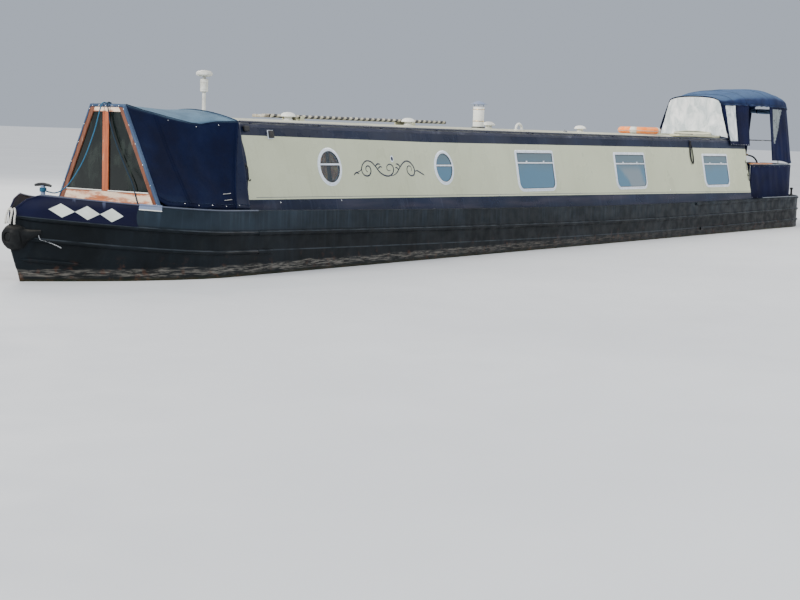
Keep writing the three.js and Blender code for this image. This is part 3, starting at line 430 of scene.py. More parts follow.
def group(name, inlets, outlets, kind="ShaderNodeTree"):
    """New node group. inlets: name, kind and its value if it has one. outlets: name, kind."""
    tree = bpy.data.node_groups.new(name, kind)
    for label, sort, *value in inlets:
        socket = tree.interface.new_socket(label, in_out="INPUT", socket_type="NodeSocket" + sort)
        if value:
            socket.default_value = value[0]
    for label, sort in outlets:
        tree.interface.new_socket(label, in_out="OUTPUT", socket_type="NodeSocket" + sort)
    return Tree(tree), tree.nodes.new("NodeGroupInput").outputs, tree.nodes.new("NodeGroupOutput").inputs


PLACE = ("Place", "Vector", (0, 0, 0))


def gunwale_drop_group():
    """How far a point lies below the gunwale."""
    t, given, out = group("gunwale drop", [PLACE], [("Drop", "Float")])
    x, _, z = t.axes(given["Place"])
    rise = t.math("POWER", t.math("MAXIMUM", t.over(t.sum(x, 3.08), 10.53), 0.0), 1.6)
    flare = t.math("POWER", t.math("MAXIMUM", t.over(t.less(x, BOW.shoulder), 2.0), 0.0), 1.5)
    aft = t.math("POWER", t.add("MapRange", {0: x, 1: -3.08, 2: -8.965}), 2.0)
    top = t.sum(t.sum(t.times(rise, 0.144), t.times(flare, 0.12)), t.sum(t.times(aft, 0.025), 1.14))
    t.feed(out["Drop"], t.less(top, z))
    return t.tree


def run_marks_group():
    """Marks left by water running down a side."""
    t, given, out = group(
        "run marks", [PLACE, ("Spacing", "Float", 0.05), ("Length", "Float", 0.6), ("Share", "Float", 0.5)],
        [("Mask", "Float")])
    x, y, z = t.axes(given["Place"])
    across = t.over(t.sum(x, t.times(y, 0.7)), given["Spacing"])
    spot = t.add("CombineXYZ", {0: across, 1: t.over(z, given["Length"]), 2: t.times(across, 0.13)})
    level = t.sum(
        t.times(t.noise(spot, 1.0, 4.0, 0.62), 0.72), t.times(t.noise(given["Place"], 1.1, 2.0), 0.28))
    start = t.less(0.72, t.times(given["Share"], 0.36))
    t.feed(out["Mask"], t.ramp(level, start, t.sum(start, 0.16)))
    return t.tree


def grime_group():
    """Patchy dirt: a broad mask and a fine speckle."""
    t, given, out = group(
        "grime", [PLACE, ("Size", "Float", 0.5), ("Share", "Float", 0.4)],
        [("Mask", "Float"), ("Speckle", "Float")])
    near = t.over(1.0, given["Size"])
    start = t.less(0.74, t.times(given["Share"], 0.4))
    t.feed(out["Mask"], t.ramp(t.noise(given["Place"], near, 5.0, 0.6, 0.4), start, t.sum(start, 0.2)))
    t.feed(out["Speckle"], t.ramp(t.noise(given["Place"], t.times(near, 26.0), 3.0, 0.7), 0.56, 0.7))
    return t.tree


def paint_skin_group():
    """Height of brushed paint over plate that isn't quite flat."""
    t, given, out = group(
        "paint skin", [PLACE, ("Wobble", "Float", 0.6), ("Peel", "Float", 0.2)], [("Height", "Float")])
    plate = t.noise(given["Place"], 1.3, 1.0)
    peel = t.noise(t.stretch(given["Place"], 0.35, 1.0, 1.0), 190.0, 2.0, 0.6)
    t.feed(out["Height"], t.sum(t.times(plate, given["Wobble"]), t.times(peel, given["Peel"])))
    return t.tree


def dust_and_top_light_group():
    """Where a surface faces up: settled dust, and on canvas a painted highlight for its sunlit top."""
    t, given, out = group("settled dust", [PLACE, ("Share", "Float", 0.5), ("Even", "Float", 0.0)],
                          [("Mask", "Float")])
    facing = t.ramp(t.axes(t.add("NewGeometry", {}, out="Normal"))[2], 0.45, 0.95)
    cloud = t.ramp(t.noise(given["Place"], 6.0, 5.0, 0.65), 0.3, 0.75, given["Even"])
    t.feed(out["Mask"], t.times(facing, cloud, given["Share"]))
    return t.tree


def weave_group():
    """Plain weave on a cloth's own chart: thread height, and thread shade with slubs."""
    t, given, out = group("canvas weave", [("Chart", "Vector", (0, 0, 0)), ("Thread", "Float", 0.0016)],
                          [("Height", "Float"), ("Shade", "Float")])
    u, v, _ = t.axes(given["Chart"])
    turn = t.over(pi, given["Thread"])
    warp, weft = t.math("SINE", t.times(u, turn)), t.math("SINE", t.times(v, turn))
    t.feed(out["Height"], t.sum(0.5, t.times(warp, weft, 0.5)))
    slub = t.noise(t.stretch(given["Chart"], 300.0, 22.0, 1.0), 1.0, 3.0, 0.6)
    cross = t.noise(t.stretch(given["Chart"], 22.0, 300.0, 1.0), 1.0, 3.0, 0.6)
    t.feed(out["Shade"], t.times(t.sum(slub, cross), 0.5))
    return t.tree


def grain_group():
    """Timber grain along the first axis of Place: growth lines and pores."""
    t, given, out = group(
        "timber grain", [PLACE, ("Size", "Float", 0.02)], [("Shade", "Float"), ("Pores", "Float")])
    near = t.over(1.0, given["Size"])
    drawn = t.stretch(given["Place"], 0.06, 1.0, 1.0)
    warped = t.noise(drawn, t.times(near, 0.35), 3.0, 0.5, 0.8)
    lines = t.math("SINE", t.times(t.sum(t.times(warped, 9.0), t.noise(drawn, near, 4.0, 0.6)), 5.0))
    pores = t.noise(t.stretch(given["Place"], 0.05, 1.0, 1.0), t.times(near, 14.0), 2.0)
    t.feed(out["Shade"], t.ramp(lines, -0.9, 0.9))
    t.feed(out["Pores"], t.ramp(pores, 0.55, 0.68))
    return t.tree


def rope_lay_group():
    """Laid strands on a rope's chart: across is once round it, along is its length."""
    t, given, out = group(
        "rope lay", [("Chart", "Vector", (0, 0, 0)), ("Round", "Float", 0.044), ("Pitch", "Float", 0.03)],
        [("Height", "Float"), ("Shade", "Float")])
    u, v, _ = t.axes(given["Chart"])
    turn = t.sum(t.over(u, given["Round"]), t.over(v, given["Pitch"]))
    strand = t.size(t.math("SINE", t.times(turn, 1.5 * tau)))
    fibre = t.noise(t.add("CombineXYZ", {0: t.times(turn, 40.0), 1: t.times(v, 60.0)}), 1.0, 3.0, 0.6)
    t.feed(out["Height"], t.math("POWER", strand, 0.5))
    # Shade is darker in the grooves between strands, a painted shade, with fibre tone over it
    t.feed(out["Shade"], t.times(t.sum(t.ramp(strand, 0.0, 0.6), fibre), 0.5))
    return t.tree


GUNWALE_DROP = gunwale_drop_group()
RUN_MARKS = run_marks_group()
GRIME = grime_group()
PAINT_SKIN = paint_skin_group()
DUST_AND_TOP_LIGHT = dust_and_top_light_group()
WEAVE = weave_group()
GRAIN = grain_group()
ROPE_LAY = rope_lay_group()


class Finish(Tree):
    """One material: a Principled shader and shorthand for what feeds it."""

    def __init__(self, name, **plain):
        self.material = bpy.data.materials.new(name)
        self.material.use_nodes = True
        super().__init__(self.material.node_tree)
        self.tree.nodes.clear()
        self.shader = self.tree.nodes.new("ShaderNodeBsdfPrincipled")
        end = self.tree.nodes.new("ShaderNodeOutputMaterial")
        self.tree.links.new(self.shader.outputs[0], end.inputs[0])
        for key, value in plain.items():
            self.shader.inputs[key.replace("_", " ")].default_value = value
        coordinates = self.tree.nodes.new("ShaderNodeTexCoord")
        self.place = coordinates.outputs["Object"]
        self.chart = coordinates.outputs["UV"]

    def use(self, effect, **given):
        """A shared effect, on the piece's own place or chart unless another is given."""
        own = {"Place": self.place, "Chart": self.chart}
        taken = {item.name for item in effect.interface.items_tree}
        return super().use(effect, **{**{key: own[key] for key in own if key in taken}, **given})

    def patches(self, scale, detail, low, high):
        """A value that wanders between two, in soft patches."""
        return self.ramp(self.noise(self.place, scale, detail), 0.3, 0.7, low, high)

    def variation(self, base, other, size, share=1.0):
        """Base colour that drifts towards another in clouds."""
        cloud = self.ramp(self.noise(self.place, 1 / size, 4.0, 0.55), 0.32, 0.72)
        return self.mix(self.times(cloud, share), base, other)

    def stain(self, colour, mask, share, *mark):
        """A colour with another one, 0 to 255, over it where the mask says."""
        return self.mix(self.times(mask, share), colour, tint(*mark))

    def done(self, colour, rough, height, depth, strength=1.0):
        """Joins colour, roughness and bump to the shader."""
        self.feed(self.shader.inputs["Base Color"], colour)
        self.feed(self.shader.inputs["Roughness"], rough)
        bump = self.add("Bump", {"Strength": strength, "Distance": depth, "Height": height}, out="Normal")
        self.feed(self.shader.inputs["Normal"], bump)
        return self.material


def tint(red, green, blue):
    """A colour as a paint chart gives it, 0 to 255, in the shader's own scale."""
    return tuple(((c / 255 + 0.055) / 1.055) ** 2.4 for c in (red, green, blue)) + (1.0,)


# Finishes of steel and paint
def hull_blacking(name, bow=False):
    """Bitumen blacking: run marks below the gunwale, a scum band at the water, rust under it."""
    m = Finish(name, Specular_IOR_Level=0.12)
    drop = m.use(GUNWALE_DROP)["Drop"]
    x, _, z = m.axes(m.place)
    colour = m.variation(tint(8, 13, 16), tint(18, 24, 29), 0.6)
    colour = m.mix(m.ramp(x, -8.0, -2.0, 0.55, 0.0), colour, tint(3, 6, 9))
    runs = m.use(RUN_MARKS, Spacing=0.05, Length=1.2, Share=0.66)["Mask"]
    upper = m.times(runs, m.ramp(drop, 0.3, 0.05, 0.15, 0.9))
    wash = m.times(m.ramp(drop, 0.25, 0.2), m.ramp(m.noise(m.place, 2.2, 4.0), 0.25, 0.6, 0.3, 0.8))
    colour = m.stain(colour, wash, m.ramp(x, 3.0, 8.5, 0.15, 0.9), 42, 54, 65)
    colour = m.stain(colour, upper, 0.3, 62, 76, 90)
    colour = m.stain(colour, m.use(GRIME, Size=0.28, Share=0.55)["Mask"], 0.16, 48, 52, 52)
    # Lighter line along the top of each strake: a painted highlight, patchy like worn paint
    for low in (0.237, 0.452):
        wear_and_highlight = m.ramp(m.size(m.less(drop, low)), 0.009, 0.004)
        colour = m.stain(colour, wear_and_highlight, m.ramp(m.noise(m.place, 4.0, 4.0), 0.3, 0.6, 0.08, 0.4), 84, 92, 100)
    # Scum and rust at the waterline
    ragged = m.sum(z, m.times(m.noise(m.stretch(m.place, 3.0, 3.0, 10.0), 1.0, 4.0), 0.09))
    scum = m.times(m.ramp(ragged, 0.735, 0.705), m.ramp(ragged, 0.62, 0.66))
    fore = m.ramp(x, -6.0, 7.0, 0.25, 1.0)
    flecks = m.noise(m.stretch(m.place, 5.0, 5.0, 60.0), 1.0, 5.0, 0.7)
    pale_scum = m.mix(fore, tint(84, 70, 56), tint(126, 122, 114))
    colour = m.mix(m.times(scum, fore, m.ramp(flecks, 0.44, 0.62, 0.05, 0.8)), colour, pale_scum)
    rusty = m.times(m.ramp(z, 0.85, 0.6), m.ramp(m.noise(m.place, 9.0, 5.0, 0.65), 0.55, 0.68))
    colour = m.stain(colour, rusty, 0.4, 96, 62, 44)
    weed = m.variation(tint(44, 50, 30), tint(74, 66, 46), 0.2)
    colour = m.mix(m.times(m.ramp(z, 0.6, 0.53), 0.8), colour, weed)
    rough = m.patches(7.0, 4.0, 0.34, 0.58)
    if bow:
        # Navy flash with its curved aft edge, drips from the rim, and the row of diamonds
        edge = m.less(9.037, m.times(m.math("POWER", m.less(drop, 0.13), 2.0), 2.2))
        flash = m.times(m.ramp(x, edge, m.sum(edge, 0.006)), m.ramp(drop, 0.24, 0.232))
        navy = m.variation(tint(12, 14, 38), tint(20, 23, 50), 0.7)
        drips = m.ramp(m.noise(m.stretch(m.place, 11.0, 11.0, 0.4), 1.0, 2.0), 0.62, 0.7)
        navy = m.stain(navy, m.times(drips, m.ramp(drop, 0.1, 0.0)), 0.4, 110, 118, 148)
        colour = m.mix(flash, colour, navy)
        along = m.math("FRACT", m.over(m.less(x, 9.168), 0.22))
        away = m.times(m.size(m.less(along, 0.5)), 2.0)
        level = m.over(m.size(m.less(drop, 0.137)), 0.073)
        diamond = m.ramp(m.sum(away, level), 1.0, 0.985)
        row = m.times(m.math("GREATER_THAN", x, 9.17), m.math("LESS_THAN", x, 9.826))
        pale = m.variation(tint(222, 230, 220), tint(204, 210, 200), 0.2)
        colour = m.mix(m.times(diamond, row), colour, pale)
        # Painted highlight along the top of the rim, where the sky lights it
        colour = m.stain(colour, m.ramp(drop, 0.012, 0.002), 0.6, 106, 112, 128)
        rough = m.add("Mix", {0: flash, 2: rough, 3: 0.3})
    skin = m.use(PAINT_SKIN, Wobble=1.0, Peel=0.12)["Height"]
    scabs = m.times(scum, m.noise(m.place, 60.0, 4.0, 0.7), 0.4)
    return m.done(colour, rough, m.sum(skin, scabs), 0.006)


def gloss_paint(name, base, other, rough=0.28, dirt=(70, 68, 62), dirt_and_shade=0.35):
    """Coach paint on steel, with water marks and dust."""
    m = Finish(name, Specular_IOR_Level=0.25, Coat_Weight=0.04, Coat_Roughness=0.12)
    colour = m.variation(tint(*base), tint(*other), 0.9)
    colour = m.stain(
        colour, m.use(RUN_MARKS, Spacing=0.09, Length=1.5, Share=0.4)["Mask"], dirt_and_shade * 0.5, *dirt)
    grime = m.use(GRIME, Size=0.5, Share=0.4)
    colour = m.stain(colour, grime["Mask"], dirt_and_shade * 0.4, *dirt)
    colour = m.stain(colour, grime["Speckle"], dirt_and_shade * 0.3, *dirt)
    colour = m.mix(m.use(DUST_AND_TOP_LIGHT, Share=0.4)["Mask"], colour, tint(150, 148, 138))
    skin = m.use(PAINT_SKIN, Wobble=0.5, Peel=0.05)["Height"]
    return m.done(colour, m.patches(3.0, 4.0, rough - 0.05, rough + 0.12), skin, 0.004)


def cabin_paint():
    """Navy bands round a cream panel with a curved front edge, and a thin coach line under it."""
    m = Finish("cabin paint", Specular_IOR_Level=0.22, Coat_Weight=0.03, Coat_Roughness=0.1)
    x, _, z = m.axes(m.place)
    cream = m.variation(tint(198, 202, 175), tint(188, 192, 164), 1.4)
    navy = m.variation(tint(16, 24, 45), tint(26, 35, 58), 1.1)
    runs = m.use(RUN_MARKS, Spacing=0.05, Length=0.9, Share=0.5)["Mask"]
    navy = m.stain(navy, runs, 0.2, 78, 86, 108)
    # Reddish grey streaks low on the navy: a painted reflection
    low = m.ramp(m.noise(m.stretch(m.place, 0.8, 0.8, 9.0), 1.0, 4.0), 0.45, 0.7)
    navy = m.stain(navy, m.times(m.ramp(z, 1.42, 1.26), low), 0.25, 88, 78, 86)
    cream = m.stain(cream, runs, 0.18, 150, 146, 122)
    cream = m.stain(cream, m.use(GRIME, Size=0.4, Share=0.4)["Mask"], 0.12, 150, 148, 130)
    # The panel's top and foot rise towards the bow
    top = m.add("MapRange", {0: x, 1: 3.6, 2: 7.4, 3: 2.09, 4: 2.129})
    foot = m.add("MapRange", {0: x, 1: -7.07, 2: 7.47, 3: 1.267, 4: 1.397})
    front = m.sum(7.376, m.times(m.math("POWER", m.less(z, 1.8), 2.0), 0.56))
    panel = m.times(m.ramp(z, top, m.less(top, 0.004)), m.ramp(z, foot, m.sum(foot, 0.004)),
                    m.ramp(x, front, m.less(front, 0.004)))
    line = m.size(m.less(z, m.sum(foot, 0.026)))
    coach = m.times(m.ramp(line, 0.005, 0.003), m.ramp(x, 7.3, 7.28))
    colour = m.stain(m.mix(panel, navy, cream), coach, 0.75, 70, 74, 96)
    return m.done(
        colour, m.patches(2.0, 4.0, 0.22, 0.4), m.use(PAINT_SKIN, Wobble=1.0, Peel=0.04)["Height"], 0.005)


def roof_paint():
    """Cream roof with a grit finish, scuffed and dusty, and navy at its edge."""
    m = Finish("roof paint")
    from_middle = m.size(m.axes(m.place)[1])
    cream = m.variation(tint(206, 206, 182), tint(182, 182, 160), 0.7)
    cream = m.stain(cream, m.use(GRIME, Size=0.3, Share=0.6)["Mask"], 0.35, 120, 118, 104)
    navy = m.variation(tint(20, 26, 48), tint(34, 40, 66), 1.1)
    colour = m.mix(m.ramp(from_middle, 0.662, 0.666), cream, navy)
    # Pale patches on the roof's rounded edge: worn paint and a painted highlight
    wear_and_highlight = m.times(m.ramp(from_middle, 0.716, 0.724), m.ramp(m.noise(m.place, 3.0, 5.0, 0.7), 0.56, 0.7))
    colour = m.stain(colour, wear_and_highlight, 0.2, 150, 154, 170)
    colour = m.mix(m.use(DUST_AND_TOP_LIGHT, Share=0.45)["Mask"], colour, tint(140, 140, 130))
    return m.done(colour, m.patches(8.0, 4.0, 0.35, 0.62), m.noise(m.place, 420.0, 2.0), 0.0008, 0.5)


def bare_metal(name, base, rough=0.22, metal=1.0):
    """Bright metal with fine drawn lines, water spots and dulled patches."""
    m = Finish(name, Metallic=metal)
    base = tint(*base)
    colour = m.variation(base, tuple(c * 0.72 for c in base[:3]) + (1.0,), 0.06, 0.7)
    grime = m.use(GRIME, Size=0.07, Share=0.5)["Mask"]
    drawn = m.noise(m.stretch(m.place, 900.0, 14.0, 14.0), 1.0, 2.0)
    rough = m.sum(m.times(grime, 0.25), m.ramp(drawn, 0.3, 0.7, rough - 0.05, rough + 0.08))
    return m.done(m.stain(colour, grime, 0.35, 96, 92, 84), rough, drawn, 0.0003, 0.4)


def frame_enamel():
    """Window frames: pale blue-white finish on aluminium, with patchy dirt."""
    m = Finish("window frame enamel", Coat_Weight=0.3)
    colour = m.variation(tint(232, 238, 246), tint(214, 224, 234), 0.25)
    colour = m.stain(colour, m.use(GRIME, Size=0.09, Share=0.45)["Mask"], 0.35, 110, 112, 108)
    return m.done(colour, m.patches(30.0, 3.0, 0.2, 0.36), m.noise(m.place, 260.0, 2.0), 0.0004, 0.3)


def moulded(name, base, other, rough=0.5, grain=260.0, depth=0.0005, dirt=(96, 92, 84)):
    """Rubber or plastic with a moulded grain and settled dust."""
    m = Finish(name, Specular_IOR_Level=0.2)
    colour = m.variation(tint(*base), tint(*other), 0.12)
    colour = m.stain(colour, m.use(GRIME, Size=0.12, Share=0.5)["Mask"], 0.3, *dirt)
    colour = m.mix(m.use(DUST_AND_TOP_LIGHT, Share=0.35)["Mask"], colour, tint(132, 128, 118))
    rough = m.patches(18.0, 4.0, rough - 0.08, rough + 0.14)
    return m.done(colour, rough, m.noise(m.place, grain, 3.0, 0.6), depth, 0.6)


def window_glass():
    """Tinted pane: mostly mirror of the sky, paler low down, with dried rain."""
    m = Finish(
        "window glass", IOR=1.5, Metallic=0.0, Specular_IOR_Level=0.7, Coat_Weight=0.5, Coat_Roughness=0.02)
    x, _, z = m.axes(m.place)
    sky = m.ramp(m.sum(z, m.times(m.noise(m.place, 1.4, 2.0), 0.2)), 1.74, 2.02)
    colour = m.mix(sky, tint(78, 118, 142), tint(92, 112, 120))
    slant = m.sum(m.less(m.times(x, 0.9), z), m.times(m.noise(m.place, 2.0, 2.0), 0.5))
    patch = m.ramp(m.math("SINE", m.times(slant, 3.2)), 0.45, 0.85)
    colour = m.stain(colour, m.times(patch, m.ramp(z, 1.82, 1.66)), 0.45, 156, 152, 142)
    grime = m.use(GRIME, Size=0.12, Share=0.4)["Mask"]
    colour = m.stain(colour, grime, 0.15, 120, 124, 120)
    return m.done(colour, m.sum(m.times(grime, 0.12), 0.05), m.noise(m.place, 2.5, 2.0), 0.003, 0.35)


def clear_pane():
    """Porthole glass that shows what hangs behind it."""
    m = Finish("clear glass", IOR=1.5, Transmission_Weight=0.96, Metallic=0.0, Specular_IOR_Level=0.3)
    grime = m.use(GRIME, Size=0.1, Share=0.4)["Mask"]
    colour = m.stain(tint(186, 200, 210), grime, 0.2, 140, 148, 150)
    return m.done(colour, m.sum(m.times(grime, 0.15), 0.03), m.noise(m.place, 3.0, 2.0), 0.002, 0.2)


def board_glass():
    """Old cratch pane: opaque and painted dark green-grey as the shaded well behind it, smudged."""
    m = Finish("cratch pane", IOR=1.5, Specular_IOR_Level=0.4, Coat_Weight=0.15, Coat_Roughness=0.08)
    smudge = m.ramp(m.noise(m.stretch(m.place, 1.0, 2.2, 1.2), 3.0, 4.0, 0.6, 0.7), 0.42, 0.72)
    colour = m.mix(smudge, tint(14, 20, 17), tint(34, 42, 37))
    colour = m.stain(
        colour, m.use(RUN_MARKS, Spacing=0.025, Length=0.4, Share=0.4)["Mask"], 0.25, 116, 124, 114)
    return m.done(colour, m.sum(m.times(smudge, 0.28), 0.12), m.noise(m.place, 5.0, 2.0), 0.002, 0.3)


def clear_vinyl(name, through, dull, bright):
    """Flexible window: cloudy and creased, its pale colour partly haze and partly a painted reflection of the
    bright sky; through is how much of it is see-through.
    """
    m = Finish(
        name, IOR=1.46, Transmission_Weight=through, Metallic=0.0, Coat_Weight=0.3, Coat_Roughness=0.14)
    haze = m.ramp(m.noise(m.stretch(m.place, 2.0, 2.0, 1.1), 2.4, 4.0, 0.6, 0.8), 0.35, 0.7)
    pulled = m.noise(m.stretch(m.place, 4.0, 9.0, 1.4), 1.0, 4.0, 0.6, 1.6)
    crease = m.noise(m.stretch(m.place, 3.2, 3.2, 1.6), 1.0, 4.0, 0.6, 1.4)
    colour = m.mix(m.ramp(pulled, 0.5, 0.62, 0.0, 0.6), m.mix(haze, tint(*dull), tint(*bright)), tint(*dull))
    return m.done(colour, m.sum(m.times(haze, 0.2), 0.24), m.sum(crease, m.times(pulled, 0.6)), 0.02, 0.8)


# Finishes of cloth, timber and rope
def canvas(name, base, other, faded, top_fade_and_light=0.5):
    """Acrylic canvas: woven, sun faded and painted lighter as a sunlit top where it faces up, and water
    marked.
    """
    m = Finish(name, Sheen_Weight=0.02, Sheen_Roughness=0.5, Specular_IOR_Level=0.08)
    weave = m.use(WEAVE, Thread=0.0022)
    colour = m.variation(tint(*base), tint(*other), 0.35)
    colour = m.mix(m.ramp(weave["Shade"], 0.38, 0.62, 0.0, 0.35), colour, tint(*other))
    # Up-facing faces take the pale colour: sun fading and a painted highlight of the sunlit top
    colour = m.mix(m.use(DUST_AND_TOP_LIGHT, Share=top_fade_and_light * 0.8, Even=0.7)["Mask"], colour, tint(*faded))
    colour = m.stain(colour, m.use(GRIME, Size=0.35, Share=0.5)["Mask"], 0.018, *faded)
    crumple = m.noise(m.stretch(m.place, 1.0, 1.0, 0.6), 9.0, 3.0, 0.5, 0.6)
    height = m.sum(m.times(weave["Height"], 0.1), m.times(crumple, 0.9))
    return m.done(colour, m.ramp(weave["Shade"], 0.3, 0.7, 0.62, 0.85), height, 0.006, 0.8)


def timber(name, base, dark, pale, weathered, turn=(0, 0, 0)):
    """Varnished timber gone pale in patches; the grain runs along the first axis after the turn."""
    m = Finish(name, Coat_Weight=0.15)
    laid = m.add("Mapping", {"Vector": m.place, "Rotation": turn})
    grain = m.use(GRAIN, Place=laid, Size=0.03)
    colour = m.stain(tint(*base), grain["Shade"], 0.55, *dark)
    bare = m.noise(m.stretch(laid, 2.0, 9.0, 9.0), 1.0, 5.0, 0.65)
    bare = m.ramp(bare, 0.7 - 0.3 * weathered, 0.82 - 0.3 * weathered)
    colour = m.stain(m.stain(colour, bare, 0.85, *pale), grain["Pores"], 0.4, *dark)
    height = m.sum(m.times(grain["Shade"], 0.3), m.times(grain["Pores"], -0.6))
    return m.done(colour, m.sum(m.times(bare, 0.3), 0.38), height, 0.0008, 0.6)


def rope(name, base, other, thick, shaded_from=99.0):
    """Laid rope, following its length, and painted darker from some way along as shade."""
    m = Finish(name, Sheen_Weight=0.05, Specular_IOR_Level=0.2)
    lay = m.use(ROPE_LAY, Round=tau * thick, Pitch=thick * 7)
    # The grooves between strands take the darker colour: painted shade
    colour = m.mix(lay["Shade"], tint(*other), tint(*base))
    colour = m.stain(colour, m.use(GRIME, Size=0.1, Share=0.4)["Mask"], 0.3, 70, 74, 70)
    # Darker from some way along the line: painted shade
    dirt_and_shade = m.ramp(m.axes(m.chart)[1], shaded_from, shaded_from + 0.1, 0.0, 0.88)
    return m.done(m.mix(dirt_and_shade, colour, tint(22, 32, 42)), m.ramp(lay["Shade"], 0.2, 0.8, 0.9, 0.65),
                  lay["Height"], 0.002, 0.8)


def pole_paint():
    """Boat pole with a black spiral band on cream."""
    m = Finish("pole paint")
    x, y, z = m.axes(m.place)
    turn = m.math("ARCTAN2", m.less(z, 2.359), m.sum(y, 0.14))
    black = m.ramp(m.math("SINE", m.sum(turn, m.times(x, tau / 0.125))), -0.12, -0.02)
    cream = m.variation(tint(206, 202, 182), tint(168, 162, 140), 0.3)
    colour = m.mix(black, cream, m.variation(tint(28, 28, 32), tint(54, 54, 58), 0.2))
    return m.done(colour, m.patches(25.0, 4.0, 0.35, 0.6),
                  m.noise(m.stretch(m.place, 4.0, 60.0, 60.0), 1.0, 3.0), 0.0008, 0.5)


def curtain_cloth():
    """Orange curtain with a faint pattern."""
    m = Finish("curtain cloth", Sheen_Weight=0.3)
    weave = m.use(WEAVE, Thread=0.003)
    colour = m.mix(m.ramp(weave["Shade"], 0.3, 0.7), tint(214, 132, 48), tint(168, 88, 30))
    colour = m.mix(m.ramp(m.noise(m.place, 12.0, 3.0), 0.45, 0.6), colour, tint(206, 160, 84))
    return m.done(colour, m.ramp(weave["Shade"], 0.3, 0.7, 0.7, 0.9), weave["Height"], 0.0008, 0.5)


FINISH = {
    "blacking": hull_blacking("hull blacking"),
    "bow": hull_blacking("bow blacking and flash", bow=True),
    "cabin": cabin_paint(),
    "roof": roof_paint(),
    "navy": gloss_paint("navy paint", (18, 25, 48), (30, 38, 62)),
    "cream": gloss_paint("cream paint", (203, 203, 174), (186, 186, 158), dirt_and_shade=0.25),
    "deck": gloss_paint("deck paint", (52, 56, 64), (70, 74, 82), rough=0.5, dirt=(92, 86, 76), dirt_and_shade=0.8),
    # Counter edge: worn steel, and a painted highlight where the edge catches the light
    "grey": gloss_paint("worn grey edge", (104, 112, 122), (136, 142, 148), rough=0.45, dirt_and_shade=0.6),
    "blue_grey": gloss_paint("blue grey trim", (116, 130, 160), (142, 154, 178), rough=0.4, dirt_and_shade=0.5),
    "black_iron": gloss_paint("black ironwork", (24, 25, 27), (44, 45, 48), rough=0.42, dirt=(92, 70, 54)),
    "white": gloss_paint("white enamel", (242, 242, 236), (222, 222, 214), rough=0.34, dirt_and_shade=0.3),
    "engine": gloss_paint("engine enamel", (60, 92, 66), (44, 70, 50), rough=0.4, dirt=(40, 34, 28),
                          dirt_and_shade=0.9),
    "stainless": bare_metal("stainless steel", (206, 208, 210)),
    "galvanised": bare_metal("galvanised chain", (214, 216, 218), rough=0.34, metal=0.8),
    "brass": bare_metal("old brass", (190, 152, 84), rough=0.3),
    "frame": frame_enamel(),
    "gasket": moulded("black gasket", (22, 22, 24), (36, 36, 38), rough=0.6),
    "rubber": moulded("fender rubber", (9, 11, 13), (18, 20, 22), rough=0.66, grain=120.0, depth=0.0016,
                      dirt=(38, 40, 40)),
    "plastic": moulded("white plastic", (222, 222, 214), (198, 198, 188), rough=0.4),
    "orange": moulded("orange buoyancy skin", (255, 128, 44), (255, 170, 104), rough=0.45,
                      dirt=(214, 146, 104)),
    "glass": window_glass(),
    "clear_glass": clear_pane(),
    "board_glass": board_glass(),
    # Hood windows: near white, for haze and a painted reflection of the bright sky
    "vinyl": clear_vinyl("clear vinyl", 0.12, (196, 206, 208), (254, 255, 254)),
    "thin_vinyl": clear_vinyl("thin vinyl", 0.7, (150, 160, 160), (186, 196, 194)),
    "canvas": canvas("navy canvas", (4, 11, 34), (8, 19, 50), (98, 126, 146), top_fade_and_light=1.2),
    # Hood roof: a lighter copy of the navy canvas, painted as sunlit
    "hood": canvas("hood canvas", (12, 24, 54), (24, 42, 82), (74, 98, 130), top_fade_and_light=1.1),
    # Hood sides, dodger and stern panels: a darker copy of the navy canvas, painted shade
    "side_canvas": canvas("shaded canvas", (0, 7, 36), (2, 14, 54), (50, 80, 122), top_fade_and_light=0.5),
    # Hem on the board's face: navy canvas painted pale as a sunlit face
    "hem": canvas("pale hem", (60, 76, 102), (78, 96, 122), (112, 130, 148), top_fade_and_light=0.5),
    "flap": canvas("faded canvas lining", (96, 128, 168), (126, 154, 186), (150, 172, 196), top_fade_and_light=0.5),
    "timber": timber("cratch timber", (196, 106, 64), (142, 72, 42), (232, 184, 146), 0.3, (0, pi / 2, 0)),
    # Stiles: darker timber, a painted shadow of the cover's hem
    "stile_timber_in_shade": timber("cratch edge timber", (128, 76, 52), (88, 52, 38), (184, 146, 120), 0.35,
                          (0, pi / 2, 0)),
    "rail_timber": timber("cratch cross rails", (206, 128, 88), (156, 88, 58), (255, 232, 206), 0.9,
                          (0, 0, pi / 2)),
    "bench": timber("bench boards", (208, 128, 70), (150, 84, 44), (228, 178, 132), 0.5),
    "plank": timber("gang plank", (178, 168, 148), (120, 110, 94), (204, 200, 188), 0.6),
    "ply": timber("floor boards", (186, 152, 106), (140, 106, 68), (204, 180, 142), 0.4),
    "line": rope("blue line", (52, 110, 142), (24, 58, 84), BOW_LINE.radius, shaded_from=1.5),
    "black_line": rope("black line", (34, 34, 38), (14, 14, 16), SIDE_LINE.radius),
    "lashing": rope("white lashing", (214, 212, 204), (150, 148, 142), 0.009),
    "pole": pole_paint(),
    "curtain": curtain_cloth(),
}


# Camera, floor and light
def set_camera():
    yaw, pitch, roll = (radians(turn) for turn in (AIM.yaw, AIM.pitch, AIM.roll))
    ahead = Vector((cos(yaw) * cos(pitch), sin(yaw) * cos(pitch), -sin(pitch)))
    level = Vector((sin(yaw), -cos(yaw), 0))
    upright = level.cross(ahead)
    right = cos(roll) * level + sin(roll) * upright
    up = -sin(roll) * level + cos(roll) * upright
    lens = bpy.data.cameras.new("camera")
    lens.lens = AIM.lens
    lens.sensor_width = 36
    lens.clip_end = 300
    camera = bpy.data.objects.new("camera", lens)
    camera.matrix_world = Matrix((right, up, -ahead)).transposed().to_4x4()
    camera.location = EYE
    bpy.context.collection.objects.link(camera)
    bpy.context.scene.camera = camera


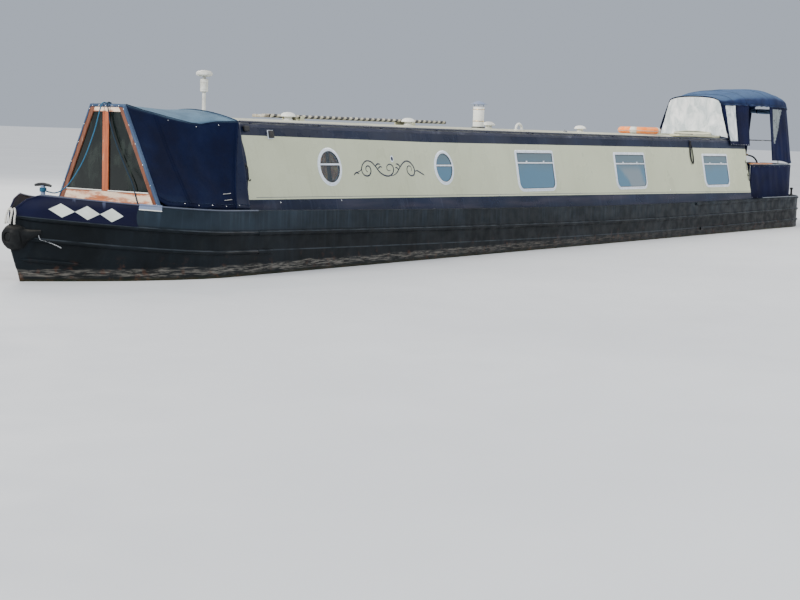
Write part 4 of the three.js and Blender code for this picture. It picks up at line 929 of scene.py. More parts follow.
def set_stage():
    floor = Shape().grid([[(-260, y, WATER), (260, y, WATER)] for y in (260, -260)])
    pale = Finish("pale floor")
    colour = pale.variation(tint(214, 216, 218), tint(206, 208, 211), 4.0)
    pale.feed(pale.shader.inputs["Base Color"], colour)
    pale.feed(pale.shader.inputs["Roughness"], pale.patches(2.0, 3.0, 0.55, 0.7))
    mesh = bpy.data.meshes.new("floor")
    mesh.from_pydata(floor.points, [], floor.faces)
    mesh.materials.append(pale.material)
    ground = bpy.data.objects.new("floor", mesh)
    bpy.context.collection.objects.link(ground)
    sky = bpy.data.worlds.new("studio")
    sky.use_nodes = True
    sky.node_tree.nodes["Background"].inputs[0].default_value = (0.74, 0.82, 0.95, 1)
    sky.node_tree.nodes["Background"].inputs[1].default_value = 0.62
    bpy.context.scene.world = sky
    # Lights: kind, place, size, power, colour
    for kind, place, size, power, colour in (
        ("AREA", (-14, 10, 14), 9, 2600, (1.0, 0.96, 0.9)),
        ("AREA", (14, 16, 12), 12, 1500, (0.95, 0.97, 1.0)),
        ("AREA", (-2, -16, 14), 12, 2600, (1.0, 0.95, 0.88)),
        ("SUN", (30, -6, 22), 0.5, 4.2, (1.0, 0.97, 0.92)),
    ):
        lamp = bpy.data.lights.new("soft light", kind)
        if kind == "SUN":
            lamp.angle = size
        else:
            lamp.size = size
        lamp.energy = power
        lamp.color = colour
        stand = bpy.data.objects.new("soft light", lamp)
        stand.matrix_world = (Vector(place) - Vector((0, 0, 1))).to_track_quat("Z", "Y").to_matrix().to_4x4()
        stand.location = place
        bpy.context.collection.objects.link(stand)


set_camera()
set_stage()


# Ropes
def make_bow_line():
    line = smooth_line(BOW_LINE.route, 150)
    piece = Shape().tube(line, BOW_LINE.radius, 10).build("bow_line_rope", "line", node="bow_line")
    knot = Shape()
    # Turns round the stud and the hitch on the cratch board
    for k in range(3):
        z = 1.487 + 0.015 * k
        knot.tube([(9.68 + a, b, z) for a, b in circle(24, 0.031)], BOW_LINE.radius, 10, closed=True)
    hitch = knot.build("bow_line_turns", "line")


def side_line_route():
    """Long hanging turns on the cabin side, each a little off the last."""
    route = []
    high, low = SIDE_LINE.top - 0.03, SIDE_LINE.bottom + 0.03
    middle, reach = (high + low) / 2, (high - low) / 2
    for k in range(16 * SIDE_LINE.turns + 1):
        angle = tau * k / 16
        turn = k / 16
        across = (SIDE_LINE.half - 0.006 * turn) * sin(angle) * (1 - 0.35 * cos(angle))
        up = middle + reach * cos(angle) - 0.012 * (turn % 3)
        place = on_side(1, SIDE_LINE.x, up)
        route.append(place @ Vector((across, 0, 0.009 + 0.004 * turn)))
    return route


def make_side_line():
    line = smooth_line(side_line_route(), 220)
    piece = Shape().tube(line, SIDE_LINE.radius, 8).build("side_line_rope", "black_line", node="rope_coil")
    place = on_side(1, SIDE_LINE.x, SIDE_LINE.top - 0.055)
    bent = ((0, 0.03, 0.002), (0, 0.03, 0.03), (0, 0.012, 0.038), (0, 0.004, 0.03))
    hook = Shape().tube([place @ Vector(p) for p in bent], 0.004)
    hook.block((-0.012, 0.01, 0.0005), (0.012, 0.05, 0.004), 0.001, place=place)
    hook.build("side_line_hook", "black_iron", slot="navy_paint")


make_bow_line()
make_side_line()


# Helpers for panels, frames and studs
def slab(shape, outline, low, high, axis="x", ease=0.003, coat=0, place=None):
    """Flat board cut to an outline and given a thickness along one axis, with eased edges."""
    lump = bmesh.new()
    spots = ([(h, a, b) if axis == "x" else (a, b, h) for a, b in outline] for h in (low, high))
    near, far = ([lump.verts.new(p) for p in level] for level in spots)
    lump.faces.new(near)
    lump.faces.new(far[::-1])
    for k in range(len(outline)):
        lump.faces.new((near[k - 1], near[k], far[k], far[k - 1]))
    bmesh.ops.recalc_face_normals(lump, faces=lump.faces)
    if ease:
        bmesh.ops.bevel(lump, geom=lump.edges[:], offset=ease, segments=1, affect="EDGES", clamp_overlap=True)
    return shape.add(lump, coat, place)


def rounded_outline(half_wide, half_high, top_round, bottom_round, offset):
    """Window outline, counter-clockwise from the right, grown by offset."""
    line = []
    for sx, sz, radius, start in (
        (1, 1, top_round, 0), (-1, 1, top_round, 90), (-1, -1, bottom_round, 180), (1, -1, bottom_round, 270),
    ):
        turn = max(radius + offset, 0.003)
        cx, cz = sx * (half_wide + offset - turn), sz * (half_high + offset - turn)
        for angle in spaced(radians(start), radians(start + 90), 9):
            line.append((cx + turn * cos(angle), cz + turn * sin(angle)))
    return line


def frame_ring(shape, outline, profile, place, coat=0):
    """Ring of one section round an outline; profile holds (offset, proud) pairs."""
    loops = [[place @ Vector((a, b, proud)) for a, b in outline(offset)] for offset, proud in profile]
    rows = [[loop[k] for loop in loops] for k in range(len(loops[0]))]
    return shape.grid(rows + rows[:1], coat, wrap=True)


def repeat_tree(name, sizes, axis, shape, quarter_turns=False):
    """Geometry nodes: a shape on each point, one axis along the point's facing."""
    inlets = [("Geometry", "Geometry"), *((label, "Float") for label in sizes), ("Finish", "Material")]
    t, given, out = group(name, inlets, [("Geometry", "Geometry")], "GeometryNodeTree")
    facing = t.add(
        "GeometryNodeInputNamedAttribute", {"Name": "facing"}, out="Attribute", data_type="FLOAT_VECTOR")
    turn = t.add("FunctionNodeAlignRotationToVector", {"Vector": facing}, out="Rotation", axis=axis)
    if quarter_turns:
        angle = t.times(t.math("MODULO", t.add("GeometryNodeInputIndex", {}), 2), pi / 2)
        quarter = t.add(
            "FunctionNodeAxisAngleToRotation", {"Axis": (1, 0, 0), "Angle": angle}, out="Rotation")
        turn = t.add("FunctionNodeRotateRotation", {"Rotation": turn, "Rotate By": quarter}, out="Rotation",
                     rotation_space="LOCAL")
    given_to = {"Points": given["Geometry"], "Instance": shape(t, given), "Rotation": turn}
    real = t.add("GeometryNodeRealizeInstances", {0: t.add("GeometryNodeInstanceOnPoints", given_to)})
    t.feed(out[0], t.add("GeometryNodeSetMaterial", {"Geometry": real, "Material": given["Finish"]}))
    return t.tree


def stud_shape(t, given):
    dome = t.add(
        "GeometryNodeMeshUVSphere", {"Segments": 10, "Rings": 6, "Radius": given["Radius"]}, out="Mesh")
    size = t.add("CombineXYZ", {0: 1.0, 1: 1.0, 2: t.over(given["Height"], given["Radius"])})
    return t.add("GeometryNodeTransform", {"Geometry": dome, "Scale": size})


def link_shape(t, given):
    oval = t.add("GeometryNodeCurvePrimitiveCircle", {"Resolution": 14, "Radius": given["Length"]})
    wire = t.add("GeometryNodeCurvePrimitiveCircle", {"Resolution": 6, "Radius": given["Wire"]})
    narrow = t.add("GeometryNodeTransform", {"Geometry": oval, "Scale": (1, 0.62, 1)})
    return t.add("GeometryNodeCurveToMesh", {"Curve": narrow, "Profile Curve": wire})


STUDS = repeat_tree("press studs", ("Radius", "Height"), "Z", stud_shape)
LINKS = repeat_tree("chain links", ("Length", "Wire"), "X", link_shape, quarter_turns=True)


def repeat(name, tree, places, finish, **sizes):
    """Runs a geometry tree over (point, facing) pairs and keeps the result as a plain mesh."""
    mesh = bpy.data.meshes.new(name + "_points")
    mesh.from_pydata([tuple(point) for point, _ in places], [], [])
    facing = mesh.attributes.new("facing", "FLOAT_VECTOR", "POINT")
    facing.data.foreach_set("vector", [n for _, way in places for n in way])
    piece = bpy.data.objects.new(name, mesh)
    bpy.context.collection.objects.link(piece)
    modifier = piece.modifiers.new("repeat", "NODES")
    modifier.node_group = tree
    sockets = {item.name: item.identifier for item in tree.interface.items_tree if item.in_out == "INPUT"}
    for label, value in sizes.items():
        modifier[sockets[label]] = value
    modifier[sockets["Finish"]] = FINISH[finish]
    made = bpy.data.meshes.new_from_object(piece.evaluated_get(bpy.context.evaluated_depsgraph_get()))
    piece.modifiers.remove(modifier)
    made.name = name
    piece.data = made
    made.shade_smooth()
    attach(piece, "hull")
    return piece


# Hull
CARRIED = {
    "blacking": ("hull_side_port", "hull_side_starboard", "stern_swim", "baseplate"),
    "deck": ("well_deck", "foredeck", "stern_deck", "locker_lid"),
    "ply": ("cabin_floor", "engine_board"),
    "navy": ("front_bulkhead", "rear_bulkhead"),
    "cabin": ("cabin_side_port", "cabin_side_starboard"),
    "board_glass": ("cratch_glass_port", "cratch_glass_starboard"),
    "black_iron": ("rudder",),
    "brass": ("propeller",),
    "engine": ("engine_block",),
}


def finish_carried():
    """Gives the parts that are carried over as they are their finish."""
    for finish, names in CARRIED.items():
        for part in (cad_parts[name] for name in names):
            if not part.data.materials:
                part.data.materials.append(FINISH[finish])
            for slot in part.material_slots:
                slot.material = FINISH[finish]


def make_bow():
    shape = Shape()
    steps = [-1, -0.6, -0.25] + spaced(0, 0.9, 26) + spaced(0.92, 0.999, 8)
    sections = []
    for t in steps:
        top = bow_top(t)
        outer = [
            bow_point(t, z) for z in [0.0103, 0.15, 0.3, 0.42, 0.49, 0.55] + spaced(0.62, top - 0.012, 12)]
        outer.append(bow_point(t, top - 0.003, 0.003))
        inner = [bow_point(t, top - 0.003, BOW.bulwark - 0.003), bow_point(t, top - 0.012, BOW.bulwark)]
        shelf = min(1.2697, top - 0.016)
        inner += [bow_point(t, shelf, BOW.bulwark), bow_point(t, shelf, BOW.wall)]
        inner += [bow_point(t, z, BOW.wall) for z in (0.9, 0.49, 0.0103)]
        for ring_point in inner + outer:
            ring_point.y = max(ring_point.y, 0.0)
        sections.append(outer + inner)
    outside, around = len(outer), len(sections[0])
    mirrored = [[Vector((p.x, -p.y, p.z)) for p in row[::-1]] for row in sections]
    shape.grid(sections, wrap=True, ends=True, coat_of=lambda r, c: int(c >= outside))
    shape.grid(mirrored, wrap=True, ends=True, coat_of=lambda r, c: int((around - 2 - c) % around >= outside))
    # Stem bar, guard strakes and the rim's half round bar
    heights = spaced(0.02, bow_top(1) - 0.02, 30)
    shape.tube([(table_value(STEM, z) - 0.012, 0, z) for z in heights], 0.023, 14)
    for side in (1, -1):
        for k, start in enumerate((-1, -1, 0.74)):
            drop = STRAKE.drop + k * STRAKE.step
            ways = spaced(start, 0.985, 46)
            line = [bow_point(t, bow_sheer(t) - drop) for t in ways]
            radii = [0.022 * clamp((t - start) / 0.03, 0.3, 1) * clamp((1.0 - t) / 0.05, 0.25, 1) if k == 2
                     else 0.022 * clamp((1.0 - t) / 0.05, 0.4, 1) for t in ways]
            shape.tube(mirror(line, side), radii, 12)
        rim = [bow_point(t, bow_top(t) - 0.004, 0.006) for t in spaced(-1, 0.995, 50)]
        shape.tube(mirror(rim, side), 0.012, 10)
    shape.build("bow_plating", ["bow", "deck"], node="bow_hull", crease=40)


def make_stern():
    shape = Shape()
    outer, inner = stern_curve(0, 81), stern_curve(0.01, 81)
    levels = (0.4905, 0.62, 0.78, 0.95, 1.1, 1.155)
    rows = []
    for (x, y), (u, v) in zip(outer, inner):
        row = [(x, y, z) for z in levels]
        row += [(lerp(x, u, 0.3), lerp(y, v, 0.3), STERN.top), (lerp(x, u, 0.8), lerp(y, v, 0.8), STERN.top)]
        row += [(u, v, z) for z in reversed(levels)]
        rows.append(row)
    shape.grid(rows, wrap=True, ends=True)
    floor = [(-5.9, 1.0)] + stern_curve(0.004, 81) + [(-5.9, -1.0)]
    slab(shape, floor, 0.4905, 0.4995, "z", 0)
    for drop, radius in ((0.03, 0.02), (STRAKE.drop, 0.022), (STRAKE.drop + STRAKE.step, 0.022)):
        shape.tube([(x, y, STERN.top - drop) for x, y in outer], radius, 12)
    shape.build("round_counter", "blacking", node="stern_counter", crease=40)
    # Grey edge where the deck meets the counter: worn steel and a painted highlight
    cap = Shape().tube([(x, y, STERN.top + 0.001) for x, y in stern_path(0.006, -7.5)], 0.008, 8)
    cap.build("counter_edge", "grey")


def roof_panel(shape, x_start, x_end, low, high, stations=40):
    edge = side_y(ROOF.edge)
    rows = []
    for x in spaced(x_start, x_end, stations):
        top = []
        for y in spaced(low, high, 25):
            z = roof_z(x, y)
            near = edge - abs(y)
            if near < 0.012:
                z -= 0.012 - sqrt(max(0, 0.012 ** 2 - (0.012 - near) ** 2))
            top.append((x, y, z))
        under = [(x, y, roof_z(x, y) - ROOF.thick) for y in spaced(high, low, 13)]
        rows.append(top + under)
    return shape.grid(rows, wrap=True, ends=True)


def make_roof():
    edge = side_y(ROOF.edge)
    roof_panel(Shape(), -5.5997, CABIN.front, -edge, edge, 60).build(
        "roof_skin", "roof", node="cabin_roof")
    aft = Shape()
    roof_panel(aft, ROOF.hatch_front, -5.6, -edge, edge, 12)
    for side in (1, -1):
        span = sorted((side * ROOF.hatch_half, side * edge))
        roof_panel(aft, CABIN.aft, ROOF.hatch_front, *span, 12)
        rail = sorted((side * 0.352, side * 0.372))
        z = roof_z(-6, 0.36)
        aft.block((CABIN.aft, rail[0], z - 0.01), (-5.61, rail[1], 2.3344), 0.003)
    aft.build("roof_skin_aft", "roof", node="cabin_roof_aft")
    # Grab rail bar along each roof edge
    for name, side in SIDES:
        line = [(x, side * (edge - 0.028), roof_z(x, edge - 0.028) + 0.012) for x in spaced(-7.08, 7.39, 40)]
        rail = Shape().tube(line, 0.012, 10)
        for x in spaced(-6.9, 7.2, 12):
            rail.block((x - 0.02, side * (edge - 0.028) - 0.01, roof_z(x, edge) - 0.01),
                       (x + 0.02, side * (edge - 0.028) + 0.01, roof_z(x, edge - 0.028) + 0.01), 0.003)
        rail.build("roof_rail_" + name, "navy")


def make_window(side_name, side, kind, number, x, z):
    place = on_side(side, x, z)
    if kind == "window":
        def outline(offset):
            half = (WINDOW.width / 2, WINDOW.height / 2)
            return rounded_outline(*half, WINDOW.top_round, WINDOW.bottom_round, offset)

        bar_up, half_wide = 0.118, WINDOW.width / 2 - 0.02
    else:
        def outline(offset):
            return circle(48, PORTHOLE_RADIUS + offset)

        bar_up, half_wide = 0.03, PORTHOLE_RADIUS - 0.02
    shape = Shape()
    section = ((0.022, 0.0006), (0.022, 0.004), (0.018, 0.0062), (0.0, 0.0068), (-0.005, 0.012),
               (-0.016, 0.0125), (-0.021, 0.008), (-0.022, -0.002), (-0.022, -0.046), (-0.002, -0.046),
               (-0.002, 0.0006))
    gasket = ((-0.0205, 0.0068), (-0.029, 0.0046), (-0.029, -0.004), (-0.0205, -0.004))
    frame_ring(shape, outline, section, place)
    frame_ring(shape, outline, gasket, place, 1)
    shape.block((-half_wide, bar_up - 0.011, -0.006), (half_wide, bar_up + 0.011, 0.0085), 0.003, 0, place)
    shape.block((-half_wide, bar_up - 0.017, -0.006), (half_wide, bar_up + 0.017, 0.0035), 0.001, 1, place)
    if kind == "window":
        for across in (-0.41, 0.41):
            shape.block((across - 0.02, -0.291, 0.004), (across + 0.02, -0.284, 0.0065), 0.001, 1, place)
        # Catches of the top light
        for across in (-0.25, 0.25):
            shape.block((across - 0.018, bar_up + 0.012, 0.002), (across + 0.018, bar_up + 0.03, 0.009),
                        0.002, 0, place)
    node = f"{kind}_{side_name}_{number}"
    shape.build(f"{kind}_frame_{side_name}_{number}", ["frame", "gasket"], node=node)
    pane = Shape()
    slab(pane, outline(-0.024), -0.003, 0.001, "z", 0.0008, 0, place)
    seen_through = kind == "porthole" and number == 1
    pane.build(f"{kind}_glass_{side_name}_{number}", "clear_glass" if seen_through else "glass", node=node)
    screws = [(place @ Vector((a, b, 0.0048)), place.to_3x3() @ Vector((0, 0, 1)))
              for a, b in outline(0.0065)[::4 if kind == "window" else 6]]
    repeat(f"{kind}_screws_{side_name}_{number}", STUDS, screws, "stainless", Radius=0.0045, Height=0.0016)
    if seen_through:
        make_curtain(side_name, place)


def make_curtain(side_name, place):
    """Two gathered halves hung behind the first porthole."""
    for hand, low, high in (("fore", -0.185, -0.02), ("aft", 0.035, 0.185)):
        rows = []
        for up in spaced(0.185, -0.185, 22):
            reach = sqrt(max(0.0001, 0.187 ** 2 - up ** 2))
            a, b = max(low, -reach), min(high, reach)
            b = max(b, a + 0.002)
            pull = 0.25 * (0.185 - up)
            if hand == "fore":
                b = max(b - pull * 0.2, a + 0.002)
            rows.append([place @ Vector((lerp(a, b, s), up, -0.024 + 0.006 * sin(34 * lerp(low, high, s))))
                         for s in spaced(0, 1, 26)])
        piece = Shape().grid(rows).cloth(
            f"porthole_curtain_{hand}_{side_name}", "curtain", thick=0.0015, crease=35)


# Coach painter's scroll: brush lines as (aft, up) from the scroll's middle
SCROLL = (
    ((-0.74, -0.055), (-0.7, -0.045), (-0.62, -0.02), (-0.575, 0.045), (-0.515, 0.088), (-0.455, 0.1),
     (-0.38, 0.085), (-0.3, 0.03), (-0.22, -0.045), (-0.12, -0.088), (-0.02, -0.094), (0.06, -0.06),
     (0.09, 0), (0.06, 0.045), (0, 0.055), (-0.05, 0.03), (-0.055, -0.01), (-0.02, -0.03),
     (0.02, -0.02)),
    ((-0.575, 0.045), (-0.6, -0.01), (-0.585, -0.06), (-0.53, -0.09), (-0.455, -0.085), (-0.41, -0.04),
     (-0.415, 0.01), (-0.455, 0.035), (-0.5, 0.02), (-0.51, -0.02), (-0.475, -0.045)),
    ((0.02, -0.094), (0.08, -0.085), (0.16, -0.05), (0.24, 0.02), (0.32, 0.075), (0.4, 0.098), (0.48, 0.08),
     (0.545, 0.02), (0.56, -0.04), (0.53, -0.085), (0.465, -0.095), (0.405, -0.06), (0.39, -0.01),
     (0.42, 0.03), (0.47, 0.03), (0.495, -0.005),
     (0.475, -0.04)),
    ((-0.777, -0.082), (-0.72, -0.05), (-0.66, -0.065)),
    ((0.56, -0.04), (0.62, -0.03), (0.7, -0.06), (0.777, -0.09)),
    ((-0.3, 0.03), (-0.25, 0.06), (-0.19, 0.055)), ((-0.25, 0.0), (-0.2, 0.025), (-0.16, 0.015)),
    ((0.24, 0.02), (0.2, 0.055), (0.15, 0.06)), ((0.2, -0.02), (0.17, 0.01), (0.13, 0.012)),
)


def make_scrolls():
    """Scrolls between the portholes, a paint film thick."""
    for side_name, side in SIDES:
        shape = Shape()
        place = on_side(side, 4.606, 1.744)
        for strokes in SCROLL:
            line = smooth_line([(a, b, 0) for a, b in strokes], 8 * len(strokes))
            rows = []
            for k, p in enumerate(line):
                way = (line[min(k + 1, len(line) - 1)] - line[max(k - 1, 0)]).normalized()
                half = 0.0105 * (0.25 + 0.75 * sin(pi * k / (len(line) - 1)) ** 0.45)
                across = Vector((-way.y, way.x, 0)) * half
                rows.append([place @ (p + s * across + Vector((0, 0, proud)))
                             for s, proud in ((-1, 0.0004), (-0.8, 0.0011), (0.8, 0.0011), (1, 0.0004))])
            shape.grid(rows, wrap=True, ends=True)
        shape.build("scroll_" + side_name, "navy")
        oval = Shape()
        for radius, coat, proud in ((0.035, 1, 0.0013), (0.022, 0, 0.0018)):
            ring = [(0.08 + a, 0.126 + b) for a, b in circle(28, radius, 1.25 * radius)]
            slab(oval, ring, 0.0004, proud, "z", 0, coat, place)
        oval.build("scroll_oval_" + side_name, ["navy", "frame"])


def make_door(node, side, face, out, sill, head, finish):
    shape = Shape()
    y = sorted((side * 0.003, side * 0.331))
    x = sorted((face, face - out * 0.035))
    shape.block((x[0], y[0], sill), (x[1], y[1], head), 0.004)
    middle = side * 0.167
    spans = ((sill + 0.07, lerp(sill, head, 0.5) - 0.03), (lerp(sill, head, 0.5) + 0.03, head - 0.07))
    for low, high in spans:
        for face_x, way in ((face, out), (face - out * 0.035, -out)):
            for inset, proud in ((0, 0.007), (0.03, 0.011)):
                aft, fore = sorted((face_x - way * 0.001, face_x + way * proud))
                a, b = middle - 0.11 + inset, middle + 0.11 - inset
                outline = [(a, low + inset), (b, low + inset), (b, high - inset), (a, high - inset)]
                slab(shape, outline, aft, fore, "x", 0.004)
    shape.build(node + "_leaf", finish, body=node, slot="cream_paint", node=node)
    iron = Shape()
    axis_x = face + out * 0.013
    for z in (sill + 0.18, (sill + head) / 2, head - 0.18):
        iron.tube([(axis_x, side * 0.335, z - 0.04), (axis_x, side * 0.335, z + 0.04)], 0.0075, 12)
        plate, leaf = sorted((face, face + out * 0.003)), sorted((side * 0.29, side * 0.331))
        iron.block((plate[0], leaf[0], z - 0.03), (plate[1], leaf[1], z + 0.03), 0.001)
    z = lerp(sill, head, 0.48)
    knob = sorted((face, face + out * 0.02))
    iron.tube([(knob[0], side * 0.03, z), (knob[1], side * 0.03, z)], 0.006, 12)
    iron.tube([(face + out * 0.018, side * 0.03, z), (face + out * 0.018, side * 0.09, z)], 0.006, 12)
    iron.build(node + "_ironwork", "stainless", body=node, node=node)


def make_doors():
    for name, side in SIDES:
        make_door("front_door_" + name, side, 7.42, 1, 0.786, 2.104, "cream")
        make_door("rear_door_" + name, side, -7.11, -1, 1.186, 2.184, "cream")


def make_hatch():
    """Sliding hatch: a cambered lid with turned down edges."""
    shape = Shape()
    rows = []
    for x in spaced(-7.13, -6.335, 14):
        top = []
        for y in spaced(-0.378, 0.378, 21):
            top.append((x, y, 2.404 - 0.03 * (y / 0.378) ** 2 - (0.008 if abs(y) > 0.375 else 0)))
        low, side_in = 2.337, 0.37
        ring = top + [(x, 0.378, low), (x, side_in, low)]
        ring += [(x, y, 2.396 - 0.03 * (y / 0.378) ** 2) for y in spaced(side_in, -side_in, 19)]
        rows.append(ring + [(x, -side_in, low), (x, -0.378, low)])
    shape.grid(rows, wrap=True, ends=True)
    shape.block((-6.342, -0.37, 2.34), (-6.334, 0.37, 2.375), 0.002)
    shape.block((-7.13, -0.37, 2.345), (-7.122, 0.37, 2.375), 0.002)
    shape.build("hatch_lid", "roof", body="sliding_hatch", node="sliding_hatch")
    bent = ((-0.1, 2.395), (-0.09, 2.413), (0, 2.416), (0.09, 2.413), (0.1, 2.395))
    grip = Shape().tube(smooth_line([(-7.05, y, z) for y, z in bent], 24), 0.006, 10)
    grip.build("hatch_grip", "brass", body="sliding_hatch")


finish_carried()
make_bow()
make_stern()
make_roof()
for side_name, side_sign in SIDES:
    for opening in OPENINGS:
        make_window(side_name, side_sign, *opening)
make_scrolls()
make_doors()
make_hatch()


# Cratch board and cover
def board_half(z, side):
    """Half width of the cratch board at a height, on one side."""
    share = (z - CRATCH.base) / (CRATCH.top - CRATCH.base)
    return lerp(BOARD_HALF[side][1], BOARD_HALF[side][0], share)


def make_cratch_board():
    stiles, rails, trim = Shape(), Shape(), Shape()
    width = 1.12 * CRATCH.rail
    low, high = CRATCH.base + 0.175, CRATCH.top - 0.07
    for side in (1, -1):
        top, foot = board_half(CRATCH.top, side), board_half(CRATCH.base, side)
        outline = [(side * foot, CRATCH.base), (side * top, CRATCH.top),
                   (side * (top - width), CRATCH.top), (side * (foot - width), CRATCH.base)]
        slab(stiles, outline, CRATCH.aft, CRATCH.front, "x", 0.004, coat=1)
    for half, aft, fore, ease in ((0.032, -0.035, 0.001, 0.004), (0.046, -0.01, 0.003, 0.002)):
        outline = [(-half, low), (half, low), (half, high), (-half, high)]
        slab(stiles, outline, CRATCH.front + aft, CRATCH.front + fore, "x", ease)
    for bottom, top in ((CRATCH.base, low), (high, CRATCH.top)):
        outline = [(board_half(bottom, 1) - width, bottom), (width - board_half(bottom, -1), bottom),
                   (width - board_half(top, -1), top), (board_half(top, 1) - width, top)]
        slab(rails, outline, CRATCH.aft + 0.001, CRATCH.front - 0.001, "x", 0.004)
    # Pale bead along the foot of each pane
    for side in (1, -1):
        outer = board_half(low, side) - width - 0.004
        trim.tube([(CRATCH.front + 0.003, side * y, low + 0.005) for y in (0.05, outer)], 0.007, 8)
    stiles.build("cratch_stiles", ["timber", "stile_timber_in_shade"], node="cratch_board")
    rails.build("cratch_rails", "rail_timber", node="cratch_board")
    trim.build("cratch_beads", "white", slot="timber")
    # Flashing over the gunwale beside the board's foot, with a white lower lip
    for name, side in SIDES:
        flashing, lip = Shape(), Shape()
        rows = []
        for t in spaced(0.39, 0.5, 9):
            top = bow_sheer(t) + 0.014
            outer = [bow_point(t, z, -0.005) for z in (top - 0.062, top - 0.03, top)]
            inner = [bow_point(t, z, -0.001) for z in (top, top - 0.03, top - 0.062)]
            rows.append(mirror(outer + inner, side))
        flashing.grid(rows, wrap=True, ends=True)
        lip.tube([row[0] for row in rows], 0.006, 8)
        flashing.build("gunwale_flashing_" + name, "blue_grey")
        lip.build("gunwale_lip_" + name, "white")


def cover_at(x, s, out=0.0):
    """Cover at a station: s runs from the port foot (-1) over the ridge (0) to the starboard foot (1)."""
    t = (COVER.front - x) / (COVER.front - COVER.aft)
    side = -1 if s > 0 else 1
    eave_y = lerp(board_half(2.422, side) + 0.014, side_y(2.25) + 0.02, t)
    eave_z = lerp(2.424, 2.281, t ** 1.4) - table_value(COVER_SAG, t)
    foot_z = sheer(x) + 0.0005 + 0.05 * max(0, 1 - t / 0.1) ** 2 + 0.006 + 0.006 * cos(t * 22)
    ridge_z, foot_y = lerp(2.426, 2.4, t), lerp(board_half(foot_z, side) + 0.013, 0.935, t)
    along, reach = abs(s), 0.36
    span = sin(pi * clamp(t))
    if along < reach:
        share = along / reach
        y = eave_y * share
        z = lerp(ridge_z, eave_z, share ** 1.8) - 0.018 * span * (1 - share ** 4)
        z -= 0.006 * span * cos(9 * t + 3 * share)
        normal = Vector((0, 0.25 * share, 1)).normalized()
    else:
        share = (along - reach) / (1 - reach)
        y, z = lerp(eave_y, foot_y, share), lerp(eave_z, foot_z, share)
        dip = sin(pi * clamp(share)) * span
        y -= 0.03 * dip
        # Folds drawn from the board's top corner down to the cabin's foot
        fold = sin(9.0 * (t + 0.35 * share) + 1.2) * 0.5 + sin(23.0 * (t - 0.3 * share)) * 0.22
        y += 0.013 * fold * dip + 0.004 * wobble(3.1, t * 4, share * 3) * span
        normal = Vector((0, 1, 0.35)).normalized()
        if share > 0.9:
            y += 0.004
    point = Vector((x, y, z)) + normal * out
    return Vector((point.x, side * point.y, point.z))


def cover_edge(s):
    """Where the cover's cloth ends, further forward towards its foot."""
    return lerp(7.46, 7.66, clamp((abs(s) - 0.36) / 0.64))


def make_cratch_cover():
    ways = spaced(-1, 1, 93)
    stations = [lerp(COVER.front, COVER.aft, t) for t in spaced(0, 1, 70)]

    def coat(r, c):
        return 1 if stations[r] < cover_edge(ways[c]) else 0

    piece = Shape().grid([[cover_at(x, s) for s in ways] for x in stations], coat_of=coat).cloth(
        "cratch_cover_sheet", ["canvas", "navy"], node="cratch_cover", crease=70, thick=0.003)
    # Seams, the hem at the foot and the aft edge's binding
    seams = Shape()
    for offset in (0, 0.026):
        for hand in (-1, 1):
            line = []
            for s in spaced(0.37, 0.99, 40):
                t = lerp(0.23, 0.31, (s - 0.37) / 0.62) + offset
                line.append(cover_at(lerp(COVER.front, COVER.aft, t), hand * s, 0.0025))
            seams.tube(line, 0.0025, 6)
    for hand in (-1, 1):
        seams.tube([cover_at(x, hand * 0.36, 0.003) for x in stations], 0.004, 6)
        seams.tube([cover_at(x, hand * 0.965, 0.003) for x in stations], 0.0028, 6)
    seams.tube([cover_at(cover_edge(s), s, 0.003) for s in ways], 0.008, 6)
    seams.tube([cover_at(cover_edge(s) + 0.04, s, 0.002) for s in ways], 0.0022, 6)
    seams.build("cratch_cover_seams", "canvas")
    # Front hem turned over the board's face, painted pale as a sunlit face
    hem = Shape()
    for side in (1, -1):
        rows = []
        for z in spaced(CRATCH.top + 0.012, CRATCH.base + 0.01, 40):
            outer = board_half(z, side) + 0.014
            rows.append([(8.752, side * outer, z), (CRATCH.front + 0.001, side * outer, z),
                         (CRATCH.front + 0.0035, side * (outer - 0.004), z),
                         (CRATCH.front + 0.004, side * (outer - 0.024 - 0.003 * sin(z * 31)), z)])
        hem.grid(rows, turn_in=side < 0)
    top = CRATCH.top + 0.012
    hem.grid([[(8.752, y, top + 0.002), (CRATCH.front + 0.001, y, top + 0.001),
               (CRATCH.front + 0.0035, y, top - 0.004),
               (CRATCH.front + 0.004, y, top - 0.03)] for y in spaced(0.262, -0.242, 20)])
    hem_piece = hem.cloth("cratch_cover_hem", "hem")
    straps = Shape()
    for hand in (-1, 1):
        for s in (0.885, 0.93):
            line = [cover_at(x, hand * s, 0.004) for x in spaced(7.8, 7.7, 8)]
            straps.tube(line, 0.009, 8, flat=0.25)
    straps.build("cratch_cover_straps", "white", slot="navy_canvas")
    studs = []
    for side in (1, -1):
        for z in (1.36, 1.56, 1.78, 2.0, 2.2, 2.37):
            studs.append(((CRATCH.front + 0.0055, side * (board_half(z, side) - 0.004), z), (1, 0, 0)))
    studs += [
        ((CRATCH.front + 0.0055, y, CRATCH.top - 0.006), (1, 0, 0)) for y in (-0.2, -0.1, 0.0, 0.1, 0.2)]
    for hand in (-1, 1):
        for t in (0.26, 0.41, 0.56, 0.72, 0.87):
            studs.append((cover_at(lerp(COVER.front, COVER.aft, t), hand * 0.975, 0.005), (0, -hand, 0.2)))
        for t in (0.35, 0.6, 0.8):
            studs.append(
                (cover_at(lerp(COVER.front, COVER.aft, t), hand * 0.385, 0.005), (0, -hand * 0.6, 0.6)))
    repeat("cratch_studs", STUDS, studs, "stainless", Radius=0.0085, Height=0.004)


